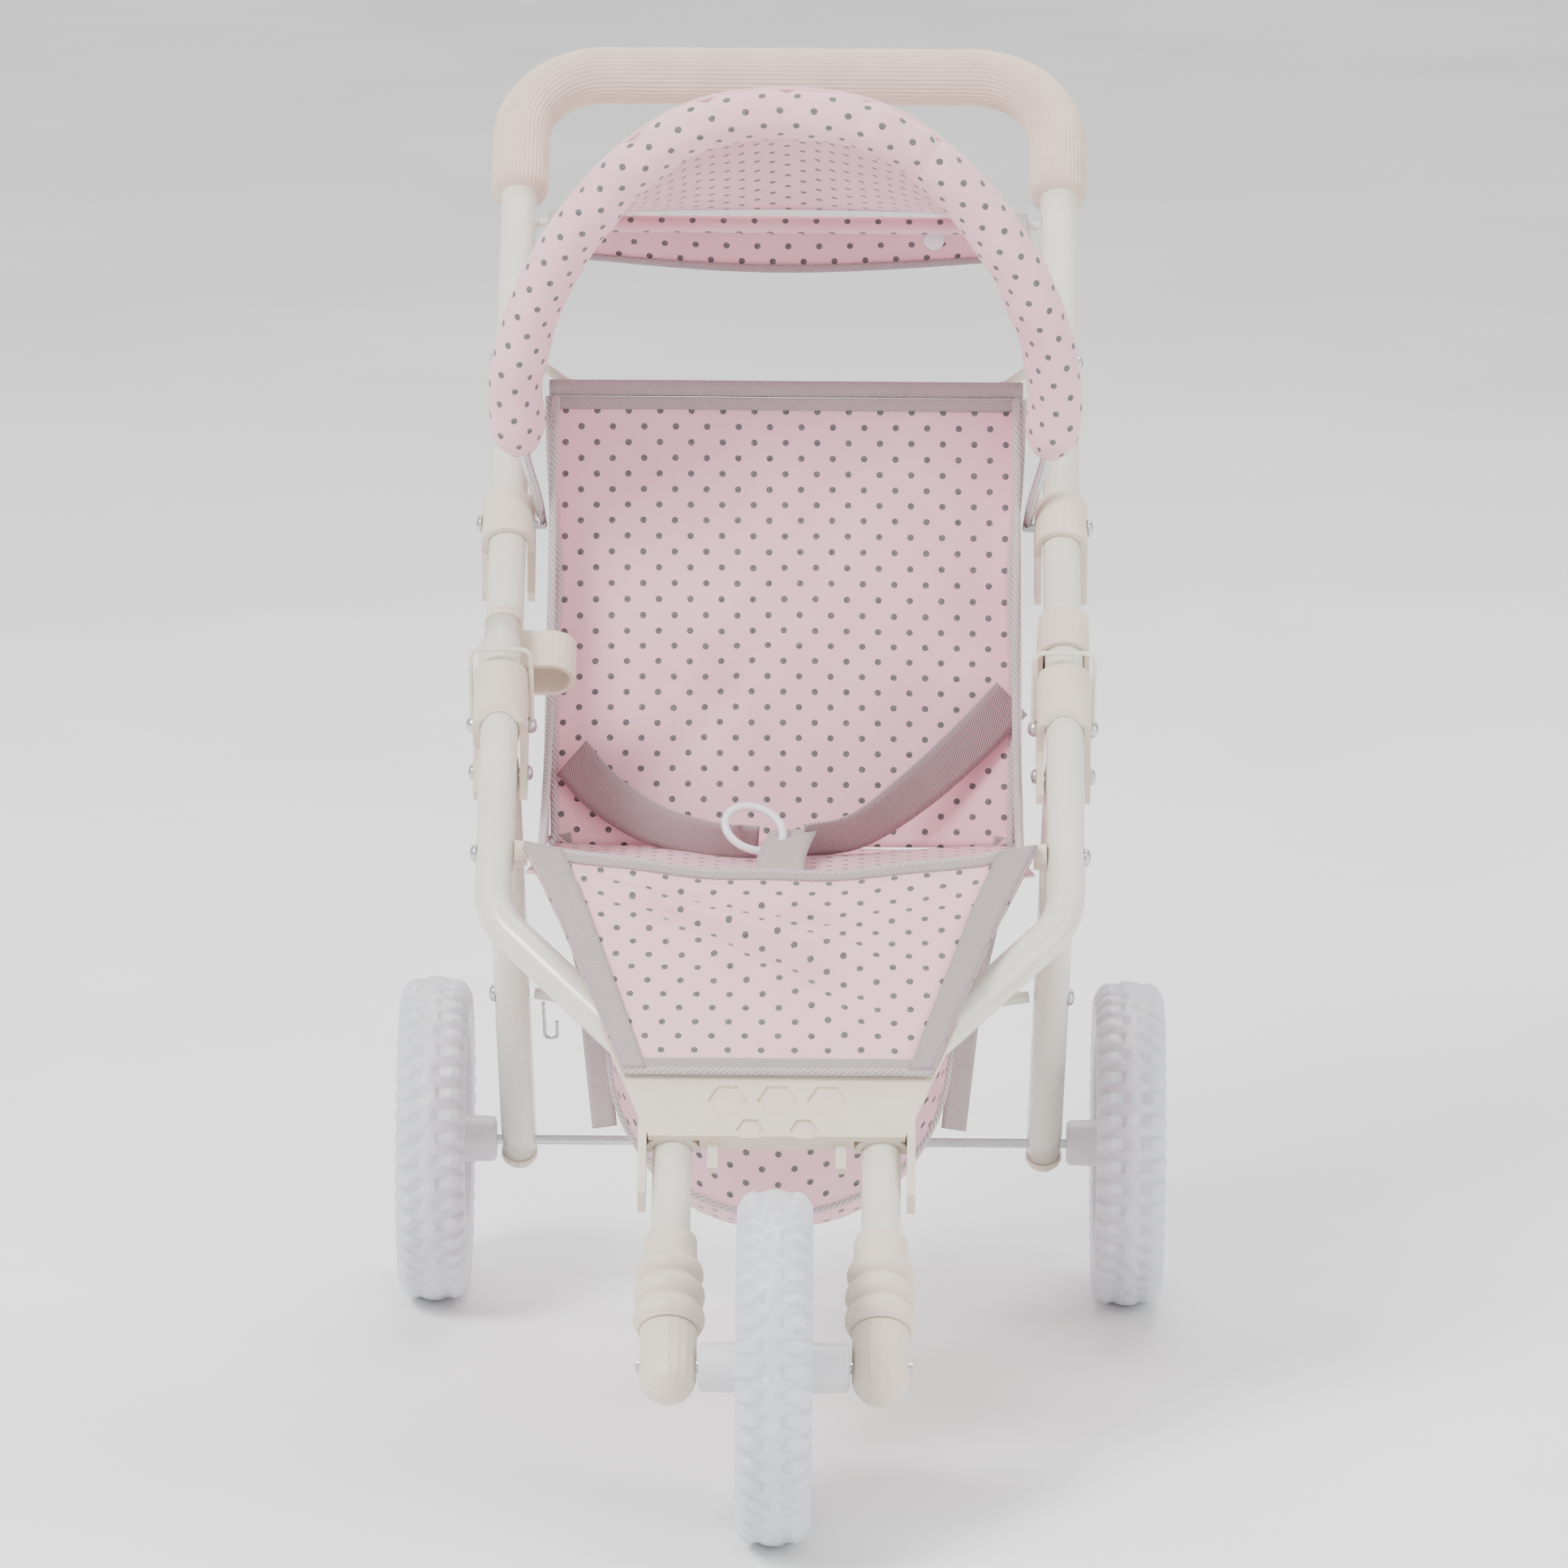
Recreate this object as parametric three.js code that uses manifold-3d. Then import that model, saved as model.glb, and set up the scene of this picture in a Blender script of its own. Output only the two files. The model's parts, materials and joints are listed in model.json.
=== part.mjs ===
// Folding three-wheel doll stroller: bent steel tubes, snap brackets, fabric seat, basket and canopy.
// Millimetres, +Z up, front towards -Y, +X to the left-hand side of someone facing the front wheel.
import * as THREE from 'three';
import { mergeVertices } from 'three/addons/utils/BufferGeometryUtils.js';
import Module from 'manifold-3d';

const wasm = await Module();
wasm.setup();

// Driving dimensions
const WHEEL_R = 85;
const TYRE_W = 36;
const RIM_R = 61;
const WHEELBASE = 453;
const FRAME_LEAN = THREE.MathUtils.degToRad(48.5);
const HANDLE_LEAN = THREE.MathUtils.degToRad(46.66);
const TUBE_R = 9.5;
const TUBE_SIDES = 14;
const FRAME_X = 141.5;
const FORK_X = 50.6;
const LEG_X = 137.3;
const LEG_TOP_X = 141;
const REAR_WHEEL_X = 181;
const AXLE_R = 3;
const GAP = 0.3;
const FORK_BEND_Q = 163;
const FRAME_BEND_Q = 264;
const FRAME_TOP_Q = 447;
const HANDLE_PIN_Q = 402;
const HANDLE_PIN_BACK = 25;
const LEG_PIN_Q = 378;
const LEG_PIN_BACK = 33;
const HANDLE_LENGTH = 423;
const GRIP_R = 15;
const GRIP_START = 341;
const CANOPY_ROD_S = 323;
const BACK_ROD_S = 232;
const HOOP_PIN_S = 126;
const HOOP_X = 124.4;
const HOOP_RISE = 234;
const HOOP_LEAN = THREE.MathUtils.degToRad(-18.3);
const SLEEVE_R = 13;
const CLIP_REACH = 23.6;
const CLIP_ARC = 10;
const CENTRE_SHIFT = 175.5;

const paint = { color: 0xe8e6df, roughness: 0.3, metalness: 0.25 };
const plastic = { color: 0xe6ddd3, roughness: 0.5, metalness: 0 };
const foam = { color: 0xe2d5cc, roughness: 0.85, metalness: 0 };
const eva = { color: 0xe0e1e3, roughness: 0.5, metalness: 0 };
const zinc = { color: 0xb9bcc0, roughness: 0.3, metalness: 1 };
const cloth = { color: 0xecc8d0, roughness: 0.95, metalness: 0 };
const webbing = { color: 0xbeb2b4, roughness: 0.95, metalness: 0 };

const SIDES = [['left', -1], ['right', 1]];

// ---- frames: each group's local axes are X across, Y rearwards-down, Z along the tube ----
const stroller = new THREE.Group();
stroller.position.y = CENTRE_SHIFT;

function frameGroup(y, z, lean) {
  const group = new THREE.Group();
  group.position.set(0, y, z);
  group.rotation.x = -lean;
  stroller.add(group);
  return group;
}

function lowerPoint(q, back) {
  const along = new THREE.Vector2(Math.sin(FRAME_LEAN), Math.cos(FRAME_LEAN));
  return [-WHEELBASE + q * along.x + back * along.y, WHEEL_R + q * along.y - back * along.x];
}

const [PIN_Y, PIN_Z] = lowerPoint(HANDLE_PIN_Q, HANDLE_PIN_BACK);
const [LEG_Y, LEG_Z] = lowerPoint(LEG_PIN_Q, LEG_PIN_BACK);
const LEG_LEAN = Math.atan2(-LEG_Y, LEG_Z - WHEEL_R);
const LEG_LENGTH = Math.hypot(LEG_Y, LEG_Z - WHEEL_R);
const lower = frameGroup(-WHEELBASE, WHEEL_R, FRAME_LEAN);
const handle = frameGroup(PIN_Y, PIN_Z, HANDLE_LEAN);
const legs = frameGroup(LEG_Y, LEG_Z, Math.PI - LEG_LEAN);
const world = frameGroup(0, 0, 0);

function handlePoint(s, back) {
  const [sin, cos] = [Math.sin(HANDLE_LEAN), Math.cos(HANDLE_LEAN)];
  return [PIN_Y + s * sin + back * cos, PIN_Z + s * cos - back * sin];
}

const hoop = frameGroup(...handlePoint(HOOP_PIN_S, 0), HOOP_LEAN);

function add(parent, name, geometry, look, position = [0, 0, 0], rotation = [0, 0, 0]) {
  const mesh = new THREE.Mesh(geometry, new THREE.MeshStandardMaterial(look));
  mesh.name = name;
  mesh.position.set(...position);
  mesh.rotation.set(...rotation);
  parent.add(mesh);
  return mesh;
}

// ---- booleans ----
function toSolid(geometry) {
  const bare = new THREE.BufferGeometry();
  bare.setAttribute('position', geometry.getAttribute('position').clone());
  if (geometry.index) bare.setIndex(geometry.index.clone());
  const merged = mergeVertices(bare, 1e-4);
  return new wasm.Manifold(new wasm.Mesh({
    numProp: 3,
    vertProperties: new Float32Array(merged.attributes.position.array),
    triVerts: new Uint32Array(merged.index.array),
  }));
}

function fromSolid(solid) {
  const mesh = solid.getMesh();
  const geometry = new THREE.BufferGeometry();
  geometry.setAttribute('position', new THREE.BufferAttribute(new Float32Array(mesh.vertProperties), 3));
  geometry.setIndex(new THREE.BufferAttribute(new Uint32Array(mesh.triVerts), 1));
  geometry.computeVertexNormals();
  return geometry;
}

// ---- shape helpers ----
function circle(radius, sides) {
  const shape = new THREE.Shape();
  for (let i = 0; i < sides; i += 1) {
    const a = (i / sides) * Math.PI * 2;
    shape[i ? 'lineTo' : 'moveTo'](radius * Math.cos(a), radius * Math.sin(a));
  }
  shape.closePath();
  return shape;
}

// A curve through given stations only, so that straight stretches cost no extra triangles.
class StationCurve extends THREE.Curve {
  constructor(points) {
    super();
    this.points = points;
  }

  getPoint(t, target = new THREE.Vector3()) {
    return target.copy(this.points[Math.round(t * (this.points.length - 1))]);
  }

  getPointAt(t, target) {
    return this.getPoint(t, target);
  }

  getSpacedPoints() {
    return this.points.map((p) => p.clone());
  }

  getTangentAt(t, target = new THREE.Vector3()) {
    const i = Math.round(t * (this.points.length - 1));
    const before = this.points[Math.max(i - 1, 0)];
    const after = this.points[Math.min(i + 1, this.points.length - 1)];
    const here = this.points[i];
    const a = here.clone().sub(before).normalize();
    const b = after.clone().sub(here).normalize();
    return target.copy(a.add(b)).normalize();
  }
}

// Rounds each corner of a polyline with an arc-like curve of the given number of stations.
function rounded(corners, radius, steps) {
  const points = corners.map((c) => new THREE.Vector3(...c));
  const out = [points[0]];
  for (let i = 1; i < points.length - 1; i += 1) {
    const toBefore = points[i - 1].clone().sub(points[i]).normalize();
    const toAfter = points[i + 1].clone().sub(points[i]).normalize();
    const half = toBefore.angleTo(toAfter) / 2;
    const reach = radius / Math.tan(half);
    const start = points[i].clone().addScaledVector(toBefore, reach);
    const end = points[i].clone().addScaledVector(toAfter, reach);
    const bisector = toBefore.clone().add(toAfter).normalize();
    const centre = points[i].clone().addScaledVector(bisector, radius / Math.sin(half));
    const from = start.clone().sub(centre);
    const to = end.clone().sub(centre);
    const sweep = from.angleTo(to);
    for (let k = 0; k <= steps; k += 1) {
      const w = k / steps;
      out.push(centre.clone()
        .addScaledVector(from, Math.sin((1 - w) * sweep) / Math.sin(sweep))
        .addScaledVector(to, Math.sin(w * sweep) / Math.sin(sweep)));
    }
  }
  out.push(points[points.length - 1]);
  return out;
}

function sweep(points, shape) {
  return new THREE.ExtrudeGeometry(shape, {
    steps: points.length - 1, bevelEnabled: false, extrudePath: new StationCurve(points),
  });
}

function tube(points, radius, sides = TUBE_SIDES) {
  return sweep(points, circle(radius, sides));
}

function hollowTube(points, outer, inner, sides) {
  const shape = circle(outer, sides);
  shape.holes.push(new THREE.Path(circle(inner, sides).getPoints().reverse()));
  return sweep(points, shape);
}

// A body turned about Z from [radius, height] pairs; the profile starts and ends on the axis or closes.
function turned(profile, sides) {
  return new THREE.LatheGeometry(profile.map(([r, h]) => new THREE.Vector2(r, h)), sides);
}

function aboutX(geometry) {
  return geometry.rotateZ(-Math.PI / 2);
}

function aboutZ(geometry) {
  return geometry.rotateX(Math.PI / 2);
}

// A closed ring about X with an [radius, x] outline.
function ringAboutX(outline, sides) {
  return aboutX(turned([...outline, outline[0]].reverse(), sides));
}

// Extrudes an outline given in (y, z) along X, centred on x = 0.
function acrossX(outline, width) {
  const shape = new THREE.Shape(outline.map(([y, z]) => new THREE.Vector2(y, z)));
  const geometry = new THREE.ExtrudeGeometry(shape, { depth: width, bevelEnabled: false });
  geometry.translate(0, 0, -width / 2);
  return geometry.applyMatrix4(new THREE.Matrix4().makeBasis(
    new THREE.Vector3(0, 1, 0), new THREE.Vector3(0, 0, 1), new THREE.Vector3(1, 0, 0)));
}

// A thin closed sheet: surface(u, v) gives its middle for u and v from 0 to 1.
function sheet(surface, across, along, thickness) {
  const geometry = new THREE.BoxGeometry(1, 1, 1, across, along, 1);
  const position = geometry.getAttribute('position');
  const step = 1e-3;
  for (let i = 0; i < position.count; i += 1) {
    const [u, v] = [position.getX(i) + 0.5, position.getY(i) + 0.5];
    const du = surface(Math.min(u + step, 1), v).sub(surface(Math.max(u - step, 0), v));
    const dv = surface(u, Math.min(v + step, 1)).sub(surface(u, Math.max(v - step, 0)));
    const normal = du.cross(dv).normalize();
    const point = surface(u, v).addScaledVector(normal, Math.sign(position.getZ(i)) * thickness / 2);
    position.setXYZ(i, point.x, point.y, point.z);
  }
  return geometry;
}

// ---- wheels ----
function tyreGeometry() {
  const h = TYRE_W / 2;
  return ringAboutX([
    [RIM_R + GAP, -h * 0.55], [RIM_R + GAP, h * 0.55], [66, h * 0.9], [74, h], [81, h * 0.82],
    [WHEEL_R, h * 0.4], [WHEEL_R, -h * 0.4], [81, -h * 0.82], [74, -h], [66, -h * 0.9],
  ], 28);
}

function hubGeometry(inner, outer) {
  return ringAboutX([
    [AXLE_R + GAP, -inner], [AXLE_R + GAP, outer], [11, outer], [12, outer - 2], [13, 4], [24, 3], [50, 4],
    [54, 10], [RIM_R, 10.5], [RIM_R, -10.5], [54, -10], [50, -4], [24, -3], [13, -4], [12, 2 - inner], [11, -inner],
  ], 28);
}

function addWheel(name, x, y, inner, outer) {
  add(world, `${name}_tyre`, tyreGeometry(), eva, [x, y, WHEEL_R]);
  const turn = x > 0 ? [0, 0, 0] : [0, Math.PI, 0];
  add(world, `${name}_hub`, hubGeometry(inner, outer), eva, [x, y, WHEEL_R], turn);
}

addWheel('rear_wheel_left', -REAR_WHEEL_X, 0, 32, 13);
addWheel('rear_wheel_right', REAR_WHEEL_X, 0, 32, 13);
addWheel('front_wheel', 0, -WHEELBASE, 36, 36);

// ---- lower frame ----
for (const [side, sign] of SIDES) {
  const path = rounded([
    [sign * FORK_X, 0, 21], [sign * FORK_X, 0, FORK_BEND_Q], [sign * FRAME_X, 0, FRAME_BEND_Q],
    [sign * FRAME_X, 0, FRAME_TOP_Q],
  ], 42, 4);
  add(lower, `lower_tube_${side}`, tube(path, TUBE_R), paint);
  add(lower, `tube_plug_${side}`, aboutZ(turned([[0, 0], [9.5, 0], [9.2, 3], [7.4, 6], [4, 8], [0, 8.6]], 14)),
    plastic, [sign * FRAME_X, 0, FRAME_TOP_Q + GAP]);
  const bore = TUBE_R + 0.4;
  add(lower, `fork_boot_${side}`, aboutZ(turned([
    [bore, 20.5], [15, 20.5], [17.2, 24], [17.2, 29], [15.2, 33], [17.2, 37], [17.2, 42], [14.6, 46],
    [16.4, 50], [16.4, 54], [13.6, 59], [13.2, 72], [bore, 73], [bore, 20.5],
  ], 18)), plastic, [sign * FORK_X, 0, 0]);
  const cap = toSolid(aboutZ(turned([
    [0, -19.8], [5.3, -18.7], [9.7, -15.7], [12.7, -11.3], [13.8, -6], [13.8, 20], [0, 20],
  ], 18)));
  const axleHole = toSolid(aboutX(new THREE.CylinderGeometry(AXLE_R + GAP, AXLE_R + GAP, 40, 12)));
  add(lower, `fork_cap_${side}`, fromSolid(cap.subtract(axleHole)), plastic, [sign * FORK_X, 0, 0]);
}
add(lower, 'front_axle', aboutX(new THREE.CylinderGeometry(AXLE_R, AXLE_R, 132, 12)), zinc);

// ---- footrest: a plate over the two fork tubes with wings outside them ----
function footrest() {
  const [face, thick, front, rear] = [-14.2, 4, 124, 192];
  const slab = sheet((u, v) => new THREE.Vector3(
    (u * 2 - 1) * (62 + 26 * v), face + thick / 2, front + (rear - front) * v), 1, 1, thick);
  let solid = toSolid(slab);
  const saddle = aboutZ(new THREE.CylinderGeometry(13.6, 13.6, 26, 20));
  const bore = aboutZ(new THREE.CylinderGeometry(TUBE_R + 0.4, TUBE_R + 0.4, 120, 20));
  const under = new THREE.BoxGeometry(40, 30, 120).translate(0, 15, 0);
  for (const sign of [-1, 1]) {
    const shell = toSolid(saddle.clone().translate(sign * FORK_X, 0, front + 13));
    solid = solid.add(shell.subtract(toSolid(under.clone().translate(sign * FORK_X, 0, front + 13))));
    const wing = acrossX([[face, 152], [face, 124], [-6, 96], [6, 93], [8, 106], [2, 140], [-4, 152]], 4);
    solid = solid.add(toSolid(wing.translate(sign * 65, 0, 0)));
    solid = solid.subtract(toSolid(bore.clone().translate(sign * FORK_X, 0, front - 6)));
  }
  const lip = new THREE.BoxGeometry(74, 11, 12).translate(0, face + 5.5, front + 6);
  solid = solid.add(toSolid(lip));
  for (const x of [-24, 0, 24]) {
    const cell = new THREE.CylinderGeometry(10, 10, 3, 6).rotateY(Math.PI / 6).translate(x, face, 145);
    solid = solid.subtract(toSolid(cell));
  }
  for (const sign of [-1, 1]) {
    solid = solid.add(toSolid(new THREE.BoxGeometry(5, 5, 16).translate(sign * 31, face + 9, front - 6)));
    const cell = new THREE.CylinderGeometry(7, 7, 3, 6).rotateY(Math.PI / 6).translate(sign * 13, face, 128);
    solid = solid.subtract(toSolid(cell));
  }
  return fromSolid(solid);
}
add(lower, 'footrest_plate', footrest(), plastic);

// ---- brackets: a saddle round the front of a tube with two cheeks reaching back ----
function bracket(cheekOutline, saddle, width, pins) {
  const half = width / 2;
  const stadium = new THREE.Shape();
  stadium.moveTo(-half, 70);
  stadium.lineTo(-half, 0);
  stadium.absarc(0, 0, half, Math.PI, 2 * Math.PI, false);
  stadium.lineTo(half, 70);
  stadium.closePath();
  const block = new THREE.ExtrudeGeometry(stadium, { depth: 120, bevelEnabled: false, curveSegments: 10 });
  const side = toSolid(acrossX([...saddle, ...cheekOutline], width + 2));
  let solid = toSolid(block.translate(0, 0, -60)).intersect(side);
  const bore = TUBE_R + 0.4;
  const channel = new THREE.Shape();
  channel.moveTo(-bore, 80);
  channel.lineTo(-bore, 0);
  channel.absarc(0, 0, bore, Math.PI, 2 * Math.PI, false);
  channel.lineTo(bore, 80);
  channel.closePath();
  const cut = new THREE.ExtrudeGeometry(channel, { depth: 140, bevelEnabled: false, curveSegments: 10 });
  solid = solid.subtract(toSolid(cut.translate(0, 0, -70)));
  for (const [y, z] of pins) {
    const hole = aboutX(new THREE.CylinderGeometry(2.7, 2.7, width + 4, 10)).translate(0, y, z);
    solid = solid.subtract(toSolid(hole));
  }
  return fromSolid(solid);
}

for (const [side, sign] of SIDES) {
  const low = bracket(
    [[16, 18], [33, 13], [42, -12], [40, -32], [30, -34], [16, -16]],
    [[-6, -17], [-14, -11], [-14, 16]], 27,
    [[HANDLE_PIN_BACK, 4], [LEG_PIN_BACK, LEG_PIN_Q - HANDLE_PIN_Q + 4]]);
  add(lower, `lower_bracket_${side}`, low, plastic, [sign * FRAME_X, 0, HANDLE_PIN_Q - 4]);
  const pinQ = HANDLE_PIN_Q;
  add(lower, `handle_pin_${side}`, aboutX(new THREE.CylinderGeometry(2.4, 2.4, 26.6, 10)), zinc,
    [sign * FRAME_X, HANDLE_PIN_BACK, pinQ]);
  add(lower, `leg_pin_${side}`, aboutX(new THREE.CylinderGeometry(2.4, 2.4, 26.6, 10)), zinc,
    [sign * FRAME_X, LEG_PIN_BACK, LEG_PIN_Q]);
  const up = bracket(
    [[10, 14], [24, 6], [33, -14], [31, -26], [22, -27], [8, -12]],
    [[-14, -12], [-14, 13]], 27, [[0, 0]]);
  add(handle, `canopy_bracket_${side}`, up, plastic, [sign * FRAME_X, 0, HOOP_PIN_S]);
}

// ---- bails: steel straps hinged on the handle pins, looped over the front of the frame tube ----
for (const [side, sign] of SIDES) {
  const loop = rounded([[-15.2, 0, 0], [-15.2, -40.5, 17], [15.2, -40.5, 17], [15.2, 0, 0]], 5, 3);
  add(lower, `bail_${side}`, tube(loop, 1.25, 8), paint, [sign * FRAME_X, HANDLE_PIN_BACK, HANDLE_PIN_Q]);
}

// ---- handle ----
function boredTube(points, pinAt) {
  let solid = toSolid(tube(points, TUBE_R));
  for (const [x, y, z] of pinAt) {
    const hole = aboutX(new THREE.CylinderGeometry(2.7, 2.7, 24, 10)).translate(x, y, z);
    solid = solid.subtract(toSolid(hole));
  }
  return fromSolid(solid);
}

const HANDLE_PATH = rounded([
  [-FRAME_X, 0, -8], [-FRAME_X, 0, HANDLE_LENGTH], [FRAME_X, 0, HANDLE_LENGTH], [FRAME_X, 0, -8],
], 44, 6);
const PIN_SPOTS = [-1, 1].flatMap((sign) => [[sign * FRAME_X, 0, 0], [sign * FRAME_X, 0, HOOP_PIN_S]]);
add(handle, 'handle_tube', boredTube(HANDLE_PATH, PIN_SPOTS), paint);
const GRIP_PATH = rounded([
  [-FRAME_X, 0, GRIP_START], [-FRAME_X, 0, HANDLE_LENGTH], [FRAME_X, 0, HANDLE_LENGTH], [FRAME_X, 0, GRIP_START],
], 44, 6);
add(handle, 'handle_grip', hollowTube(GRIP_PATH, GRIP_R, TUBE_R + 0.9, TUBE_SIDES), foam);
const INNER_X = FRAME_X - TUBE_R - GAP;
add(handle, 'canopy_rod', aboutX(new THREE.CylinderGeometry(2.6, 2.6, 2 * INNER_X, 10)), paint, [0, 0, CANOPY_ROD_S]);
add(handle, 'backrest_rod', tube(rounded([
  [1.6 - INNER_X, 0, BACK_ROD_S], [-112, -8, BACK_ROD_S - 22], [112, -8, BACK_ROD_S - 22],
  [INNER_X - 1.6, 0, BACK_ROD_S],
], 12, 3), 2.6, 10), paint);
for (const [side, sign] of SIDES) {
  add(lower, `seat_boss_${side}`, aboutX(new THREE.CylinderGeometry(6, 7, 6, 14)), plastic,
    [sign * (FRAME_X - TUBE_R - 3.4), 0, 303], [0, sign > 0 ? Math.PI : 0, 0]);
  const hoopPin = aboutX(new THREE.CylinderGeometry(2.4, 2.4, 32.8, 10));
  add(handle, `hoop_pin_${side}`, hoopPin, zinc, [sign * (FRAME_X - 3.1), 0, HOOP_PIN_S]);
}

// ---- safety clips: open rings on the handle tube; the right one is closed over the frame tube ----
// The outline of a slot with round ends, its centres at y = 0 and y = reach.
function slotOutline(radius, reach) {
  const points = [];
  for (let i = 0; i <= CLIP_ARC; i += 1) {
    const a = (i / CLIP_ARC) * Math.PI;
    points.push(new THREE.Vector2(radius * Math.cos(a), reach + radius * Math.sin(a)));
  }
  for (let i = 0; i <= CLIP_ARC; i += 1) {
    const a = Math.PI + (i / CLIP_ARC) * Math.PI;
    points.push(new THREE.Vector2(radius * Math.cos(a), radius * Math.sin(a)));
  }
  return points;
}

function clipGeometry() {
  const outer = new THREE.Shape(slotOutline(TUBE_R + 3.5, CLIP_REACH));
  outer.holes.push(new THREE.Path(slotOutline(TUBE_R + 0.9, CLIP_REACH).reverse()));
  const ring = new THREE.ExtrudeGeometry(outer, { depth: 22, bevelEnabled: false });
  return ring.rotateZ(Math.PI);
}
const CLIP_S = 28;
add(handle, 'clip_left', clipGeometry(), plastic, [-FRAME_X, 0, CLIP_S], [0, 0, Math.PI / 2]);
add(handle, 'clip_right', clipGeometry(), plastic, [FRAME_X, 0, CLIP_S]);

// ---- rear legs ----
for (const [side, sign] of SIDES) {
  const x = sign * LEG_X;
  const topX = sign * LEG_TOP_X;
  const ends = [new THREE.Vector3(topX, 0, -8), new THREE.Vector3(x, 0, LEG_LENGTH + 8)];
  const leg = toSolid(tube(ends, TUBE_R - 0.3));
  const pinHole = toSolid(aboutX(new THREE.CylinderGeometry(2.7, 2.7, 30, 10)).translate(topX, 0, 0));
  const axleHole = toSolid(aboutX(new THREE.CylinderGeometry(3.3, 3.3, 30, 12)).translate(x, 0, LEG_LENGTH));
  add(legs, `rear_leg_${side}`, fromSolid(leg.subtract(pinHole).subtract(axleHole)), paint);
  add(legs, `leg_cap_${side}`, aboutZ(turned([[0, 0], [9.6, 0], [9.6, 3], [7.6, 6.4], [4, 8], [0, 8.4]], 14)),
    plastic, [x, 0, LEG_LENGTH + 8 + GAP]);
  add(legs, `axle_nut_${side}`, aboutX(turned([[0, 0], [6.5, 0], [6.5, 3], [4, 5.6], [0, 6.4]], 14)), zinc,
    [sign * 194.4, 0, LEG_LENGTH], [0, sign > 0 ? 0 : Math.PI, 0]);
}
add(legs, 'rear_axle', aboutX(new THREE.CylinderGeometry(AXLE_R, AXLE_R, 388, 12)), zinc, [0, 0, LEG_LENGTH]);
const BRACE_X = LEG_X - TUBE_R - 0.4;
add(legs, 'brace_bar', tube(rounded([
  [-BRACE_X, 0, 160], [-100, 0, 164], [-62, 0, 200], [62, 0, 200], [100, 0, 164], [BRACE_X, 0, 160],
], 18, 3), 3.5, 10), paint);
add(legs, 'fold_hook', tube(rounded([[-122.5, 9, 158], [-122.5, -2, 195], [-116, -2, 195], [-116, 3, 178]], 2.5, 2), 1, 6),
  zinc);

// ---- canopy hoop and its padded sleeve ----
const ARCH = new THREE.CatmullRomCurve3([
  [-HOOP_X, 0], [-126.5, 16], [-133, 42], [-137, 76], [-129, 118], [-110, 160], [-81, 199],
  [-45, 226], [0, HOOP_RISE],
  [45, 226], [81, 199], [110, 160], [129, 118], [137, 76], [133, 42], [126.5, 16], [HOOP_X, 0],
].map(([x, h]) => new THREE.Vector3(x, 0, h)));
const SLEEVE_FROM = 0.072;

function archPoints(from, to, steps) {
  return Array.from({ length: steps + 1 }, (_, i) => ARCH.getPointAt(from + ((to - from) * i) / steps));
}
const HOOP_FOOT = 0.016;
add(hoop, 'canopy_hoop', tube(archPoints(HOOP_FOOT, 1 - HOOP_FOOT, 24), 2.6, 6), zinc);
add(hoop, 'canopy_sleeve', hollowTube(archPoints(SLEEVE_FROM, 1 - SLEEVE_FROM, 20), SLEEVE_R, 3.8, 10), cloth);

// ---- canopy fabric from just behind the sleeve to the rod between the handle tubes ----
const [ROD_Y, ROD_Z] = handlePoint(CANOPY_ROD_S, 0);
const [HOOP_PIN_Y, HOOP_PIN_Z] = handlePoint(HOOP_PIN_S, 0);

function archInWorld(t) {
  const p = ARCH.getPointAt(t);
  const [sin, cos] = [Math.sin(HOOP_LEAN), Math.cos(HOOP_LEAN)];
  return new THREE.Vector3(p.x, HOOP_PIN_Y + p.z * sin, HOOP_PIN_Z + p.z * cos);
}

function canopySurface(u, v) {
  const front = archInWorld(SLEEVE_FROM + (1 - 2 * SLEEVE_FROM) * u);
  front.x *= 0.955;
  front.y += SLEEVE_R + 1.8;
  const rear = new THREE.Vector3((u * 2 - 1) * 124, ROD_Y - 1, ROD_Z + 5 + 3 * Math.sin(Math.PI * u));
  const point = front.lerp(rear, v);
  point.z += 7 * Math.sin(Math.PI * v) * Math.sin(Math.PI * u);
  return point;
}
add(world, 'canopy_fabric', sheet(canopySurface, 24, 5, 2.4), cloth);
add(world, 'canopy_valance', sheet((u, v) => new THREE.Vector3(
  (u * 2 - 1) * (122 - 18 * v), ROD_Y + 5 + 2 * v, ROD_Z + 2 - 22 * v - 6 * v * Math.sin(Math.PI * u)), 10, 2, 2), cloth);

// ---- seat ----
const CREASE = [-76, 261];
const SEAT_FRONT = [-238, 279];
const BACK_TOP = [3, 478];

function backSurface(u, v) {
  const half = 116.5 + 5.5 * v;
  const bow = 5 * Math.sin(Math.PI * u) * Math.sin(Math.PI * v);
  return new THREE.Vector3((u * 2 - 1) * half, CREASE[0] + (BACK_TOP[0] - CREASE[0]) * v + bow,
    CREASE[1] + 6 + (BACK_TOP[1] - CREASE[1] - 6) * v);
}
add(world, 'backrest_panel', sheet(backSurface, 6, 8, 3), cloth);

function seatSurface(u, v) {
  const half = 116 + 10 * v;
  const y = CREASE[0] - 3 + (SEAT_FRONT[0] - CREASE[0]) * v;
  const z = CREASE[1] - 1 + (SEAT_FRONT[1] - CREASE[1]) * v;
  return new THREE.Vector3((u * 2 - 1) * half, y, z - 7 * Math.sin(Math.PI * u) * (0.4 + 0.6 * v));
}
add(world, 'seat_base', sheet(seatSurface, 8, 5, 3), cloth);

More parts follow.
